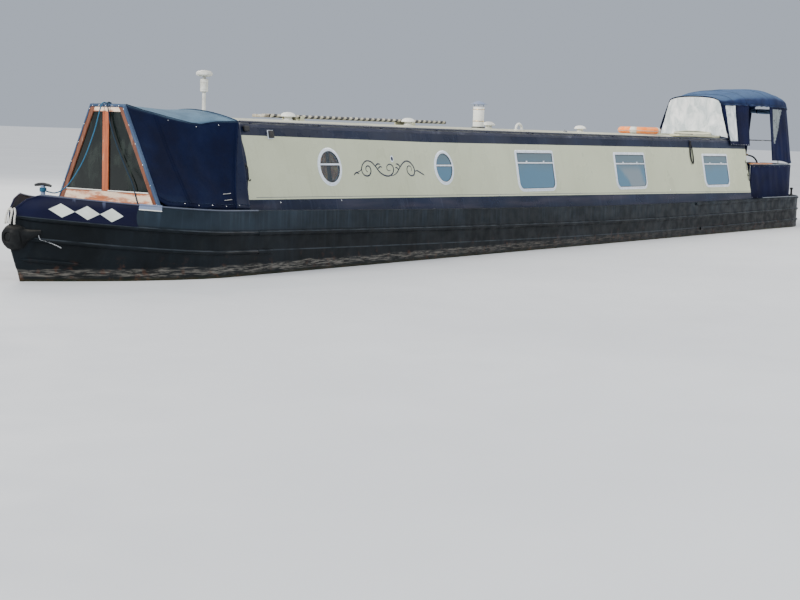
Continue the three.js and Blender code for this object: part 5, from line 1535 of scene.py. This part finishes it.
# Bow gear
def make_bow_gear():
    face = 10.165
    profile = ((0.001, -0.012), (0.036, -0.012), (0.046, -0.02), (0.054, -0.004), (0.068, 0), (0.082, -0.003),
               (0.105, -0.02), (0.128, -0.05), (0.139, -0.08), (0.142, -0.1), (0.142, -0.15), (0.136, -0.172),
               (0.12, -0.185), (0.001, -0.186))
    fender = Shape().turned(profile, (face, 0, 1.02), 40, "x")
    for back in (0.105, 0.148):
        fender.tube([(face - back, a, 1.02 + b) for a, b in circle(40, 0.1425)], 0.0035, 6, closed=True)
    fender.build("bow_fender_roll", "rubber", node="bow_fender")
    cheeks = Shape()
    for side in (1, -1):
        line = mirror(((10.05, 0.075, 1.025), (9.98, 0.125, 1.045), (9.88, 0.2, 1.075)), side)
        cheeks.tube(smooth_line(line, 14), [lerp(0.095, 0.022, (k / 13) ** 0.8) for k in range(14)], 16)
    cheeks.build("bow_fender_cheeks", "rubber")
    lashing = Shape()
    outer = ((10.075, 0.006, 1.26), (10.085, 0.02, 1.308), (10.096, 0.042, 1.31), (10.106, 0.062, 1.268),
             (10.12, 0.066, 1.21), (10.125, 0.07, 1.155))
    inner = ((10.098, -0.004, 1.26), (10.104, 0.008, 1.3), (10.116, 0.028, 1.298), (10.134, 0.036, 1.25),
             (10.142, 0.03, 1.2), (10.14, 0.02, 1.16))
    for side in (1, -1):
        for loop in (outer, inner):
            lashing.tube(smooth_line(mirror(loop, side), 26), 0.0105, 10)
    lashing.build("fender_lashings", "lashing")
    # Stud: base, post and the drooping cross bar
    post = ((0.001, 1.3005), (0.055, 1.3005), (0.055, 1.308), (0.034, 1.318), (0.026, 1.34), (0.024, 1.46),
            (0.024, 1.545), (0.001, 1.546))
    stud = Shape().turned(post, (9.68, 0, 0), 28)
    stud.build("bow_stud_post", "blue_grey", slot="hull_black", node="bow_stud")
    line = [(9.68, y, 1.558 - 0.9 * y * y) for y in spaced(-0.122, 0.122, 25)]
    radii = [0.019 * (1 - 0.35 * (abs(p[1]) / 0.122) ** 3) for p in line]
    Shape().tube(line, radii, 14).build("bow_stud_bar", "black_iron", node="bow_stud")
    chain = ((9.913, 0.197, 1.044), (9.898, 0.204, 1.0), (9.868, 0.224, 0.985), (9.828, 0.253, 0.972),
             (9.768, 0.292, 0.942), (9.722, 0.324, 0.913))
    for name, side in SIDES:
        route = smooth_line(mirror(chain, side), 26)
        links = [
            (p, (route[min(k + 1, 25)] - route[max(k - 1, 0)]).normalized()) for k, p in enumerate(route)]
        repeat("bow_chain_" + name, LINKS, links, "galvanised", Length=0.007, Wire=0.0018)


# Roof gear
def make_roof_gear():
    for number, x in enumerate(VENTS, 1):
        z = roof_z(x, 0)
        foot = ((0.001, 0.0005), (0.058, 0.0005), (0.058, 0.008), (0.05, 0.014), (0.046, 0.05), (0.001, 0.05))
        cap = ((0.001, 0.052), (0.07, 0.05), (0.09, 0.042), (0.098, 0.046), (0.096, 0.06), (0.078, 0.083),
               (0.045, 0.097), (0.014, 0.101), (0.001, 0.1015))
        shape = Shape().turned(foot, (x, 0, z), 28).turned(cap, (x, 0, z), 36)
        shape.build(f"mushroom_vent_cap_{number}", "white", node=f"mushroom_vent_{number}")
    x, y, outer, inner, top = CHIMNEY.x, CHIMNEY.y, CHIMNEY.outer, CHIMNEY.inner, CHIMNEY.top
    base = roof_z(x, y)
    collar = ((outer + 0.001, 0.001), (0.104, 0.001), (0.102, 0.012), (0.09, 0.018), (outer + 0.001, 0.02))
    Shape().turned(collar, (x, y, base), 36).build("chimney_collar", "black_iron", node="chimney")
    wall = ((inner, base + 0.01), (outer, base + 0.004), (outer, top - 0.05), (outer + 0.003, top - 0.048),
            (outer + 0.003, top - 0.03), (outer, top - 0.028), (outer, top - 0.003), (outer - 0.003, top),
            (inner + 0.003, top), (inner, top - 0.003), (inner, base + 0.01))
    rows = [[(x + a, y + b, z) for a, b in circle(40, radius)] for radius, z in wall]
    Shape().grid(rows, wrap=True).build("chimney_pipe", "white", node="chimney")
    band = Shape()
    for z in (base + 0.1, top - 0.039):
        band.tube([(x + a, y + b, z) for a, b in circle(40, outer + 0.002)], 0.004, 8, closed=True)
    band.build("chimney_bands", "brass")
    hat = Shape().turned(((0.001, 0.052), (0.06, 0.047), (0.118, 0.032), (0.122, 0.034), (0.12, 0.04),
                          (0.062, 0.07), (0.02, 0.084), (0.001, 0.086)), (x, y, top), 40)
    for turn in (30, 150, 270):
        a, reach = radians(turn), (outer + inner) / 2
        hat.tube([(x + reach * cos(a), y + reach * sin(a), top + up) for up in (-0.02, 0.046)], 0.004, 8)
    hat.build("chimney_hat", "blue_grey", node="chimney")
    # Pole, plank and their bearers
    bed = roof_z(5.25, 0.1) + 0.03
    plank = Shape().block((2.15, -0.4, bed), (5.9, -0.19, bed + 0.037), 0.005)
    for px in (2.4, 3.3, 4.2, 5.1, 5.7):
        plank.block((px - 0.015, -0.398, bed + 0.0371), (px + 0.015, -0.192, bed + 0.046), 0.004)
    plank.build("gang_plank", "plank", node="pole_and_plank")
    pole = Shape().tube([(px, -0.14, bed + 0.022) for px in spaced(1.9, 5.85, 60)], 0.022, 16)
    pole.build("boat_pole", "pole", node="pole_and_plank")
    bearers = Shape()
    for px in (5.25, 2.75):
        bearers.block((px - 0.04, -0.42, roof_z(px, 0.42) - 0.01), (px + 0.04, -0.1, bed - 0.0005), 0.004)
        for y_end in (-0.41, -0.11):
            bearers.block(
                (px - 0.03, y_end - 0.008, bed - 0.01), (px + 0.03, y_end + 0.008, bed + 0.03), 0.003)
    bearers.build("pole_bearers", "cream", node="pole_and_plank")
    # Aerial: pole, box and dome
    x, y = AERIAL.x, AERIAL.y
    base = roof_z(x, y)
    post = ((0.001, base + 0.001), (0.05, base + 0.001), (0.048, base + 0.01), (0.026, base + 0.02),
            (0.022, base + 0.03), (0.021, 2.61), (0.001, 2.61))
    head = ((0.001, 2.611), (0.04, 2.611), (0.046, 2.618), (0.046, 2.75), (0.04, 2.76), (0.018, 2.765),
            (0.018, 2.785), (0.06, 2.79), (0.092, 2.802), (0.098, 2.815), (0.094, 2.836), (0.07, 2.853),
            (0.03, 2.861), (0.001, 2.862))
    mast = Shape().turned(post, (x, y, 0), 20).turned(head, (x, y, 0), 32)
    for z in (2.64, 2.72):
        mast.tube([(x + a, y + b, z) for a, b in circle(24, 0.0465)], 0.002, 6, closed=True)
    mast.build("aerial", "plastic", node="aerial_mast")
    make_life_ring()
    for name, low, high, finish in (("top", (-6.2, 0.43, 2.285), (-4.45, 0.62, 2.3233), "cream"),
                                    ("end", (-6.25, 0.428, 2.284), (-6.2005, 0.622, 2.3243), "gasket")):
        Shape().block(low, high, 0.006).build("roof_board_" + name, finish, node="roof_board")
    # Horseshoe fitting and a clip
    horse = Shape()
    z = roof_z(0.54, 0.3) + 0.055
    horse.tube(
        [(0.535 + 0.088 * cos(a), 0.3, z - 0.05 + 0.088 * sin(a)) for a in spaced(-0.2, 3.34, 30)], 0.018, 12)
    horse.block((0.43, 0.27, z - 0.058), (0.64, 0.33, z - 0.046), 0.004)
    horse.build("roof_horseshoe", "white")
    z = roof_z(-0.76, 0.38)
    clip = Shape().block((-0.8, 0.36, z - 0.004), (-0.72, 0.4, z + 0.02), 0.006)
    clip.tube([(-0.79, 0.38, z + 0.024), (-0.73, 0.38, z + 0.03)], 0.008, 10)
    clip.build("roof_clip", "stainless")


def make_life_ring():
    x, y = LIFE_RING.x, LIFE_RING.y
    big, tube = LIFE_RING.big, LIFE_RING.tube
    z = 2.3075 + tube
    ring = Shape()
    white = {k for quarter in range(4) for k in range(quarter * 24, quarter * 24 + 5)}
    rows = []
    for k in range(96):
        a = tau * k / 96
        swell = 1.03 if k in white else 1.0
        rows.append([(x + (big + out) * cos(a), y + (big + out) * sin(a), z + 0.98 * up)
                     for out, up in circle(18, tube * swell)])
    ring.grid(rows + rows[:1], wrap=True, coat_of=lambda r, c: 1 if r in white else 0)
    ring.build("life_ring_body", ["orange", "plastic"], node="life_ring")
    line = Shape()
    for quarter in range(4):
        path = []
        for s in spaced(0, 1, 17):
            a = tau * (quarter * 24 + 2.5 + 24 * s) / 96
            out = big + tube + 0.004 + 0.002 * sin(pi * s)
            path.append((x + out * cos(a), y + out * sin(a), z - 0.012 * sin(pi * s)))
        line.tube(path, 0.004, 8)
    line.build("life_ring_grab_line", "lashing", slot="orange_plastic")


def make_side_fittings():
    """Lamp, vent box, lifting hooks and studs on the cabin sides."""
    for name, side in SIDES:
        iron, pale = Shape(), Shape()
        place = on_side(side, 6.9, 2.14)
        pale.block((-0.052, -0.052, 0.0006), (0.052, 0.052, 0.006), 0.003, 0, place)
        iron.block((-0.042, -0.044, 0.0061), (0.042, 0.044, 0.03), 0.008, 0, place)
        for up in (-0.024, -0.008, 0.008, 0.024):
            iron.block((-0.036, up - 0.003, 0.03), (0.036, up + 0.003, 0.034), 0.001, 0, place)
        lamp = on_side(side, 7.33, 2.2)
        iron.block((-0.045, -0.03, 0.0006), (0.045, 0.03, 0.035), 0.01, 0, lamp)
        for hook_x, top, low in ((7.4, 1.78, 1.62), (-7.04, 1.84, 1.7), (-7.06, 1.6, 1.5)):
            hook = on_side(side, hook_x, top)
            drop = top - low
            iron.block((-0.012, -0.03, 0.0006), (0.012, 0.03, 0.005), 0.002, 0, hook)
            bent = ((0, 0, 0.004), (0, -0.02, 0.022), (0.004, -drop * 0.6, 0.016), (0.004, -drop, 0.014),
                    (0.018, -drop - 0.014, 0.02), (0.03, -drop + 0.004, 0.022))
            iron.tube(smooth_line([hook @ Vector(p) for p in bent], 26), 0.006, 10)
        iron.build("side_ironwork_" + name, "black_iron")
        pale.build("side_vent_plate_" + name, "frame")
        studs = []
        for x in (6.87, 5.7, 2.0, -0.4, -3.6):
            place = on_side(side, x, 1.36)
            studs.append((place.translation, place.to_3x3() @ Vector((0, 0, 1))))
        repeat("side_studs_" + name, STUDS, studs, "stainless", Radius=0.011, Height=0.006)


make_cratch_board()
make_cratch_cover()
make_bow_gear()
make_roof_gear()
make_side_fittings()


# Stern gear
def make_stern_rail():
    line = smooth_line([(x, y, RAIL.z) for x, y in stern_path(RAIL.inset, RAIL.front, 41)], 140)
    rail = Shape().tube(line, RAIL.radius, 14)
    side_line = HALF_BEAM - RAIL.inset
    spots = [(x, side_line) for x in (RAIL.front - 0.016, -8.2, -8.965)]
    arc = stern_curve(RAIL.inset, 17)
    spots = spots + [(x, -y) for x, y in spots] + [arc[5], arc[11]]
    for x, y in spots:
        rail.tube([(x, y, 1.131), (x, y, RAIL.z)], 0.0135, 12)
        foot = (
            (0.001, 1.1306), (0.036, 1.1306), (0.035, 1.138), (0.02, 1.141), (0.018, 1.152), (0.001, 1.153))
        rail.turned(foot, (x, y, 0), 20)
    rail.build("stern_hand_rail", "stainless", node="stern_rail")
    for name, side in SIDES:
        board = Shape()
        low, high = sorted((side * 0.79, side * 0.902))
        outline = [(-8.16, low), (-7.24, low), (-7.21, low + 0.03), (-7.21, high - 0.03), (-7.24, high),
                   (-8.16, high)]
        slab(board, outline, 1.8065, 1.824, "z", 0.005)
        board.build("stern_seat_board_" + name, "bench", node="stern_rail")
        under = Shape()
        for x in (-8.05, -7.73, -7.42):
            under.block((x - 0.015, low + 0.01, 1.7985), (x + 0.015, high - 0.01, 1.8064), 0.002)
        under.build("stern_seat_bars_" + name, "stainless", node="stern_rail")


def make_dodger():
    """Canvas laced under the stern rail, slack between its posts."""
    path = smooth_line([(x, y, 0) for x, y in stern_path(0.169, -7.235, 41)], 150)
    centre = Vector((STERN.start, 0, 0))
    rows, studs, hems = [], [], {1.146: [], 1.77: []}
    for k, p in enumerate(path):
        way = (path[min(k + 1, 149)] - path[max(k - 1, 0)]).normalized()
        out = Vector((-way.y, way.x, 0))
        if out.dot(p - centre) < 0 and p.x < centre.x or p.x >= centre.x and out.y * p.y < 0:
            out = -out
        row = []
        for z in spaced(1.1325, 1.785, 18):
            share = (z - 1.1325) / 0.6525
            slack = sin(pi * share) * (0.006 * sin(k * 0.35) + 0.004 * sin(k * 0.83 + 5 * share))
            row.append(Vector((p.x, p.y, z)) + out * (slack - 0.004))
        rows.append(row)
        for z, line in hems.items():
            line.append(Vector((p.x, p.y, z)) - out * 0.0015)
        if k % 6 == 3:
            studs += [(Vector((p.x, p.y, z)) + out * 0.0005, out) for z in (1.16, 1.755)]
    piece = Shape().grid(rows).cloth("stern_dodger_sheet", "side_canvas", slot="navy_canvas",
                                     node="stern_dodger", thick=0.003)
    seams = Shape()
    for line in hems.values():
        seams.tube(line, 0.003, 6)
    for k in (26, 50, 75, 100, 124):
        seams.tube(rows[k], 0.0035, 6)
    seams.build("stern_dodger_seams", "canvas")
    repeat("stern_dodger_studs", STUDS, studs, "stainless", Radius=0.008, Height=0.004)


def hood_at(x):
    """Eave half width, eave z, crown z, half width at z 2.2 and at z 1.6."""
    rows = sorted(HOOD)
    return [float(np.interp(x, [row[0] for row in rows], [row[k] for row in rows])) for k in range(1, 6)]


def hood_arch(x, turn, inset=0.0):
    """Point on the hood's arch: turn runs from the port eave (0) over the crown to starboard (pi)."""
    eave_y, eave_z, crown_z, _, _ = hood_at(x)
    across, up = cos(turn), sin(turn)
    y = (eave_y - inset) * copysign(abs(across) ** 0.85, across)
    return Vector((x, y, eave_z + (crown_z - eave_z) * max(0, up) ** 0.85 - inset * (0.4 + 0.6 * up)))


def hood_side(x, z, inset=0.0):
    eave_y, eave_z, _, mid_y, foot_y = hood_at(x)
    return float(np.interp(z, (1.6, 2.2, eave_z), (foot_y, mid_y, eave_y))) - inset


HOOPS = (-7.06, -8.65, -9.5)


def canopy_point(x, s):
    """Hood roof: s from -1 (port valance) to 1, sagging between the hoops and folded at the eaves."""
    share = abs(s)
    hand = 1 if s < 0 else -1
    edges = (-6.37,) + HOOPS + (-10.07,)
    gap = max(
        0.0, *(sin(pi * clamp((x - b) / (a - b))) if b < x < a else 0 for a, b in zip(edges, edges[1:])))
    if share < 0.86:
        turn = pi / 2 * (1 - share / 0.86)
        point = hood_arch(x, turn)
        point.z -= 0.022 * gap * sin(turn) ** 0.5
        point.z += 0.006 * sin(19 * x + 5 * s) * gap
        point.y -= 0.016 * gap * (1 - sin(turn))
    else:
        drop = (share - 0.86) / 0.14
        point = hood_arch(x, 0.0)
        point.z -= 0.035 * drop + 0.006 * drop * sin(27 * x)
        point.y = hood_side(x, point.z) + 0.006 + 0.008 * drop * sin(21 * x + 1) - 0.016 * gap * (1 - drop)
    point.z += 0.004 * wobble(2.3, x * 2, s * 3)
    point.y *= hand
    return point


def front_point(u, v, out=0.0):
    """Hood's front, standing on the cabin roof: u from -1 to 1 across, v from the roof up."""
    x = -6.372
    foot = Vector((x, 0.715 * u, roof_z(x, 0.715 * u) + 0.006))
    head = hood_arch(x, acos(clamp(u, -1, 1)))
    point = foot.lerp(head, v)
    swell = sin(pi * v) * (1 - u ** 4)
    point.x += out - 0.03 * swell - 0.008 * sin(pi * v) * sin(7 * u + 6 * v)
    point.x -= 0.006 * sin(18 * u * (1.2 - v) + 3 * v) * (1 - v)
    return point


def side_point(side, x, v):
    """Hood side beside the cabin roof: v from its foot over the cabin side up to the eave."""
    _, eave_z, _, _, _ = hood_at(x)
    z = lerp(2.152, eave_z - 0.01, v)
    y = hood_side(x, z) + 0.001 + 0.007 * sin(pi * v) * sin(9 * x + 3 * v)
    if z < 2.3:
        y = max(y, side_y(z) + 0.006)
    return Vector((x, side * y, z))


def make_hood():
    # Roof of the hood, one sheet from valance to valance
    stations = spaced(-6.375, -10.065, 110)
    rows = [[canopy_point(x, s) for s in spaced(-1, 1, 71)] for x in stations]
    canopy = Shape().grid(rows).cloth("hood_canopy", "hood", node="hood_canvas", thick=0.003)
    # Front window in its canvas surround
    front = [[front_point(u, v) for u in spaced(-1, 1, 61)] for v in spaced(0, 1, 41)]

    def front_coat(r, c):
        v, u = r / 40, abs(c / 30 - 1)
        return 0 if v < 0.03 or v > 0.96 or u > 0.97 else 1

    piece = Shape().grid(front, coat_of=front_coat).cloth(
        "hood_front", ["canvas", "vinyl"], slot="hood_canvas")
    seams = Shape()
    seams.tube([front_point(u, 1.0, 0.004) for u in spaced(-1, 1, 40)], 0.008, 8)
    seams.tube(
        [front_point(0.97 * u, 0.0, 0.006) + Vector((0, 0, 0.006)) for u in spaced(-1, 1, 40)], 0.006, 8)
    for name, side in SIDES:
        ways = spaced(-6.378, -7.2, 34)
        rows = [[side_point(side, x - 0.1 * v * (x < -6.4), v) for v in spaced(0, 1, 30)] for x in ways]

        def side_coat(r, c):
            return 1 if 0 < r < 13 and 2 < c < 28 else 0

        wing = Shape().grid(rows, coat_of=side_coat).cloth("hood_side_" + name, ["side_canvas", "vinyl"])
        for r in (0, 15, 33):
            seams.tube([Vector((p.x, p.y + side * 0.003, p.z)) for p in rows[r]], 0.0045, 6)
        seams.tube([Vector((row[0].x, row[0].y + side * 0.003, row[0].z + 0.004)) for row in rows], 0.005, 6)
        studs = []
        for x in spaced(-6.42, -7.16, 8):
            studs.append(((x, side * (side_point(1, x, 0.02).y + 0.004), 2.168), (0, side, 0.2)))
        repeat("hood_studs_" + name, STUDS, studs, "stainless", Radius=0.009, Height=0.004)
    for x in (-6.75, -7.2, -8.27, -9.2):
        seams.tube([canopy_point(x, s) + Vector((0, 0, 0.003)) for s in spaced(-0.86, 0.86, 60)], 0.0028, 6)
    for hand in (-1, 1):
        seams.tube([canopy_point(x, hand) + Vector((0, -hand * 0.001, 0.002)) for x in stations], 0.0045, 6)
        seams.tube(
            [canopy_point(x, hand * 0.86) + Vector((0, -hand * 0.003, 0.001)) for x in stations], 0.003, 6)
    seams.build("hood_seams", "canvas", slot="hood_canvas")
    make_quarter()
    make_rolled_flap()


def quarter_rows():
    """Hood's stern panel, from the port doorway round the stern to the starboard one, foot to eave."""
    low = smooth_line([(x, y, 0) for x, y in stern_path(0.157, -8.27, 41)], 121)
    corner = [(x, hood_at(x)[0], hood_at(x)[1]) for x in spaced(-8.27, -9.9, 12)]
    back = [tuple(hood_arch(-10.045, a)) for a in spaced(0.12, pi - 0.12, 21)]
    high = smooth_line(corner + back + [(x, -y, z) for x, y, z in reversed(corner)], 121)
    rows = []
    for k, (foot, head) in enumerate(zip(low, high)):
        tip = 0.055 * exp(-(((k - 26) / 9) ** 2)) + 0.055 * exp(-(((k - 94) / 9) ** 2))
        row = []
        for v in spaced(0, 1, 36):
            z = lerp(1.872 - tip, head.z - 0.012, v)
            share = (z - 1.815) / (head.z - 1.815)
            plan = foot.lerp(Vector((head.x, head.y, 0)), share ** 0.9)
            out = Vector((min(0, plan.x - STERN.start), plan.y, 0))
            fold = 0.006 * sin(k * 0.55 + 4 * v) * sin(pi * v) + 0.005 * sin(k * 1.1) * (1 - v) ** 2
            row.append(Vector((plan.x, plan.y, z)) + out.normalized() * (fold - 0.006))
        rows.append(row)
    return rows


def make_quarter():
    """Stern panel in two halves, with the doorway between them rolled up at the back."""
    rows = quarter_rows()

    def coat(r, c):
        v = c / 35
        return 1 if 3 < r < 5 + 18 * (v - 0.3) and 0.3 < v < 0.93 else 0

    for name, half in (("port", rows[:50]), ("starboard", rows[:70:-1])):
        piece = Shape().grid(half, coat_of=coat).cloth(
            "hood_stern_panel_" + name, ["side_canvas", "thin_vinyl"])
        trim = Shape()
        for k in (0, 22, 40, 49):
            trim.tube(half[k], 0.005, 6)
        trim.tube([row[0] + Vector((0, 0, 0.004)) for row in half], 0.006, 6)
        trim.build("hood_stern_trim_" + name, "canvas", slot="hood_canvas")


def make_rolled_flap():
    """The back doorway's flap, rolled up under the stern eave and tied with two straps."""
    centre = Vector((-9.93, 0, 2.868))
    rows = []
    for k, y in enumerate(spaced(-0.36, 0.36, 44)):
        end = sin(pi * clamp(k / 43)) ** 0.12
        tied = 1 - 0.22 * sum(exp(-(((y - tie) / 0.025) ** 2)) for tie in (-0.2, 0.2))
        sag = 0.01 * sin(pi * k / 43)
        rows.append([centre + Vector((0.044 * end * tied * cos(a) * (1 + 0.06 * sin(5 * a + y * 14)), y,
                                      0.05 * end * tied * sin(a) * (1 + 0.05 * sin(3 * a + y * 11)) - sag))
                     for a in spaced(0, tau, 23)[:-1]])
    flap = Shape().grid(rows, wrap=True, ends=True).build("hood_rolled_flap", "flap")
    straps = Shape()
    for tie in (-0.2, 0.2):
        straps.tube([centre + Vector((a, tie, b - 0.008)) for a, b in circle(24, 0.038, 0.042)], 0.009, 8,
                    closed=True)
    straps.build("hood_flap_straps", "canvas")


def make_hood_hoops():
    shape = Shape()
    for x, foot_y in zip(HOOPS, (0.69, HALF_BEAM - RAIL.inset, 0.724)):
        foot_z = roof_z(x, foot_y) + 0.001 if x > CABIN.aft else 1.8075
        bend_y, bend_z = lerp(foot_y, hood_side(x, 2.4, 0.046), 0.6), 2.2 if foot_z < 2 else 2.45
        half = [(x, foot_y, foot_z), (x, bend_y, bend_z), (x, hood_side(x, 2.75, 0.046), 2.75)]
        arch = [tuple(hood_arch(x, a, 0.046)) for a in spaced(0.12, pi - 0.12, 25)]
        line = half + arch + [(px, -py, pz) for px, py, pz in reversed(half)]
        shape.tube(smooth_line(line, 110), 0.012, 12)
        for side in (1, -1):
            shape.tube([(x - 0.03, side * foot_y, foot_z + 0.012), (x + 0.03, side * foot_y, foot_z + 0.012)],
                       0.011, 12)
    shape.tube([tuple(hood_arch(x, pi / 2, 0.05)) for x in spaced(-7.06, -9.5, 30)], 0.009, 10)
    shape.tube([(-9.9, y, 2.26) for y in (-0.52, 0.52)], 0.012, 12)
    shape.build("hood_hoops", "stainless", node="hood_frame")


def make_steering():
    neck = ((STEER_X, 1.384), (STEER_X, 1.56), (-9.655, 1.7), (-9.56, 1.83), (-9.38, 1.915), (-9.16, 1.948),
            (-9.05, 1.96))
    neck = smooth_line([(x, 0, z) for x, z in neck], 60)
    collar = ((0.001, 1.381), (0.038, 1.381), (0.038, 1.42), (0.03, 1.43), (0.001, 1.431))
    shape = Shape().tube(neck, [lerp(0.021, 0.015, k / 59) for k in range(60)], 14)
    shape.turned(collar, (STEER_X, 0, 0), 24)
    shape.build("tiller_neck", "navy", body="steering_gear", node="tiller")
    arm = Shape().tube([(-9.12, 0, 1.954), (-8.74, 0, 1.994)], 0.013, 14)
    arm.turned(((0.001, -9.055), (0.019, -9.055), (0.02, -9.04), (0.001, -9.039)), (0, 0, 1.961), 16, "x")
    arm.build("tiller_arm", "brass", body="steering_gear", node="tiller")
    grip = Shape()
    line = smooth_line([(x, 0, 1.994 + (x + 8.74) * 0.105) for x in spaced(-8.74, -8.57, 12)], 24)
    grip.tube(line, [0.014 + 0.006 * sin(pi * clamp(k / 23)) ** 0.6 for k in range(24)], 16)
    grip.build("tiller_grip", "bench", body="steering_gear", node="tiller")


def make_dollies():
    post = ((0.001, 1.1656), (0.036, 1.1656), (0.036, 1.172), (0.028, 1.18), (0.022, 1.2), (0.021, 1.27),
            (0.03, 1.284), (0.034, 1.297), (0.031, 1.309), (0.018, 1.317), (0.001, 1.3175))
    for name, side in SIDES:
        shape = Shape().turned(post, (-9.905, side * 0.65, 0), 28)
        shape.build("mooring_dolly_" + name, "black_iron", node="stern_dolly_" + name)


def make_engine():
    """Small diesel on its bearers: block, head, rocker cover, flywheel and manifold."""
    shape = Shape()
    for side in (1, -1):
        shape.block((-7.9, side * 0.2 - 0.035, 0.0104), (-7.25, side * 0.2 + 0.035, 0.16), 0.006)
        for x in (-7.8, -7.36):
            mount = ((0.001, 0.16), (0.04, 0.16), (0.036, 0.2), (0.02, 0.215), (0.001, 0.216))
            shape.turned(mount, (x, side * 0.2, 0), 16)
    shape.block((-7.76, -0.15, 0.18), (-7.34, 0.15, 0.5), 0.02)
    shape.block((-7.74, -0.13, 0.5), (-7.36, 0.13, 0.63), 0.01)
    shape.block((-7.72, -0.08, 0.63), (-7.38, 0.08, 0.73), 0.025)
    for k in range(6):
        x = -7.71 + 0.065 * k
        shape.block((x - 0.012, -0.148, 0.52), (x + 0.012, 0.148, 0.6), 0.004)
    flywheel = ((0.001, -7.338), (0.17, -7.338), (0.17, -7.3), (0.12, -7.29), (0.06, -7.28), (0.001, -7.279))
    gearbox = ((0.001, -7.9), (0.05, -7.9), (0.07, -7.88), (0.13, -7.82), (0.14, -7.76), (0.001, -7.759))
    shape.turned(flywheel, (0, 0, 0.33), 32, "x").turned(gearbox, (0, 0, 0.3), 32, "x")
    manifold = ((-7.7, 0.16, 0.56), (-7.6, 0.2, 0.57), (-7.45, 0.2, 0.57), (-7.36, 0.17, 0.5))
    alternator = ((0.001, -7.42), (0.055, -7.42), (0.06, -7.4), (0.06, -7.32), (0.05, -7.3), (0.001, -7.299))
    shape.tube(smooth_line(manifold, 24), 0.028, 14).turned(alternator, (0, -0.185, 0.46), 20, "x")
    shape.build("engine", "engine", node="engine_block")
    lift = Shape()
    for x in (-8.5, -7.55):
        lift.block((x - 0.025, -0.04, 1.1301), (x + 0.025, 0.04, 1.1325), 0.001)
        lift.tube([(x + a, b, 1.1355) for a, b in circle(20, 0.018, 0.03)], 0.0028, 8, closed=True)
    lift.build("engine_board_rings", "stainless")


make_hood_hoops()
make_stern_rail()
make_dodger()
make_hood()
make_steering()
make_dollies()
make_engine()
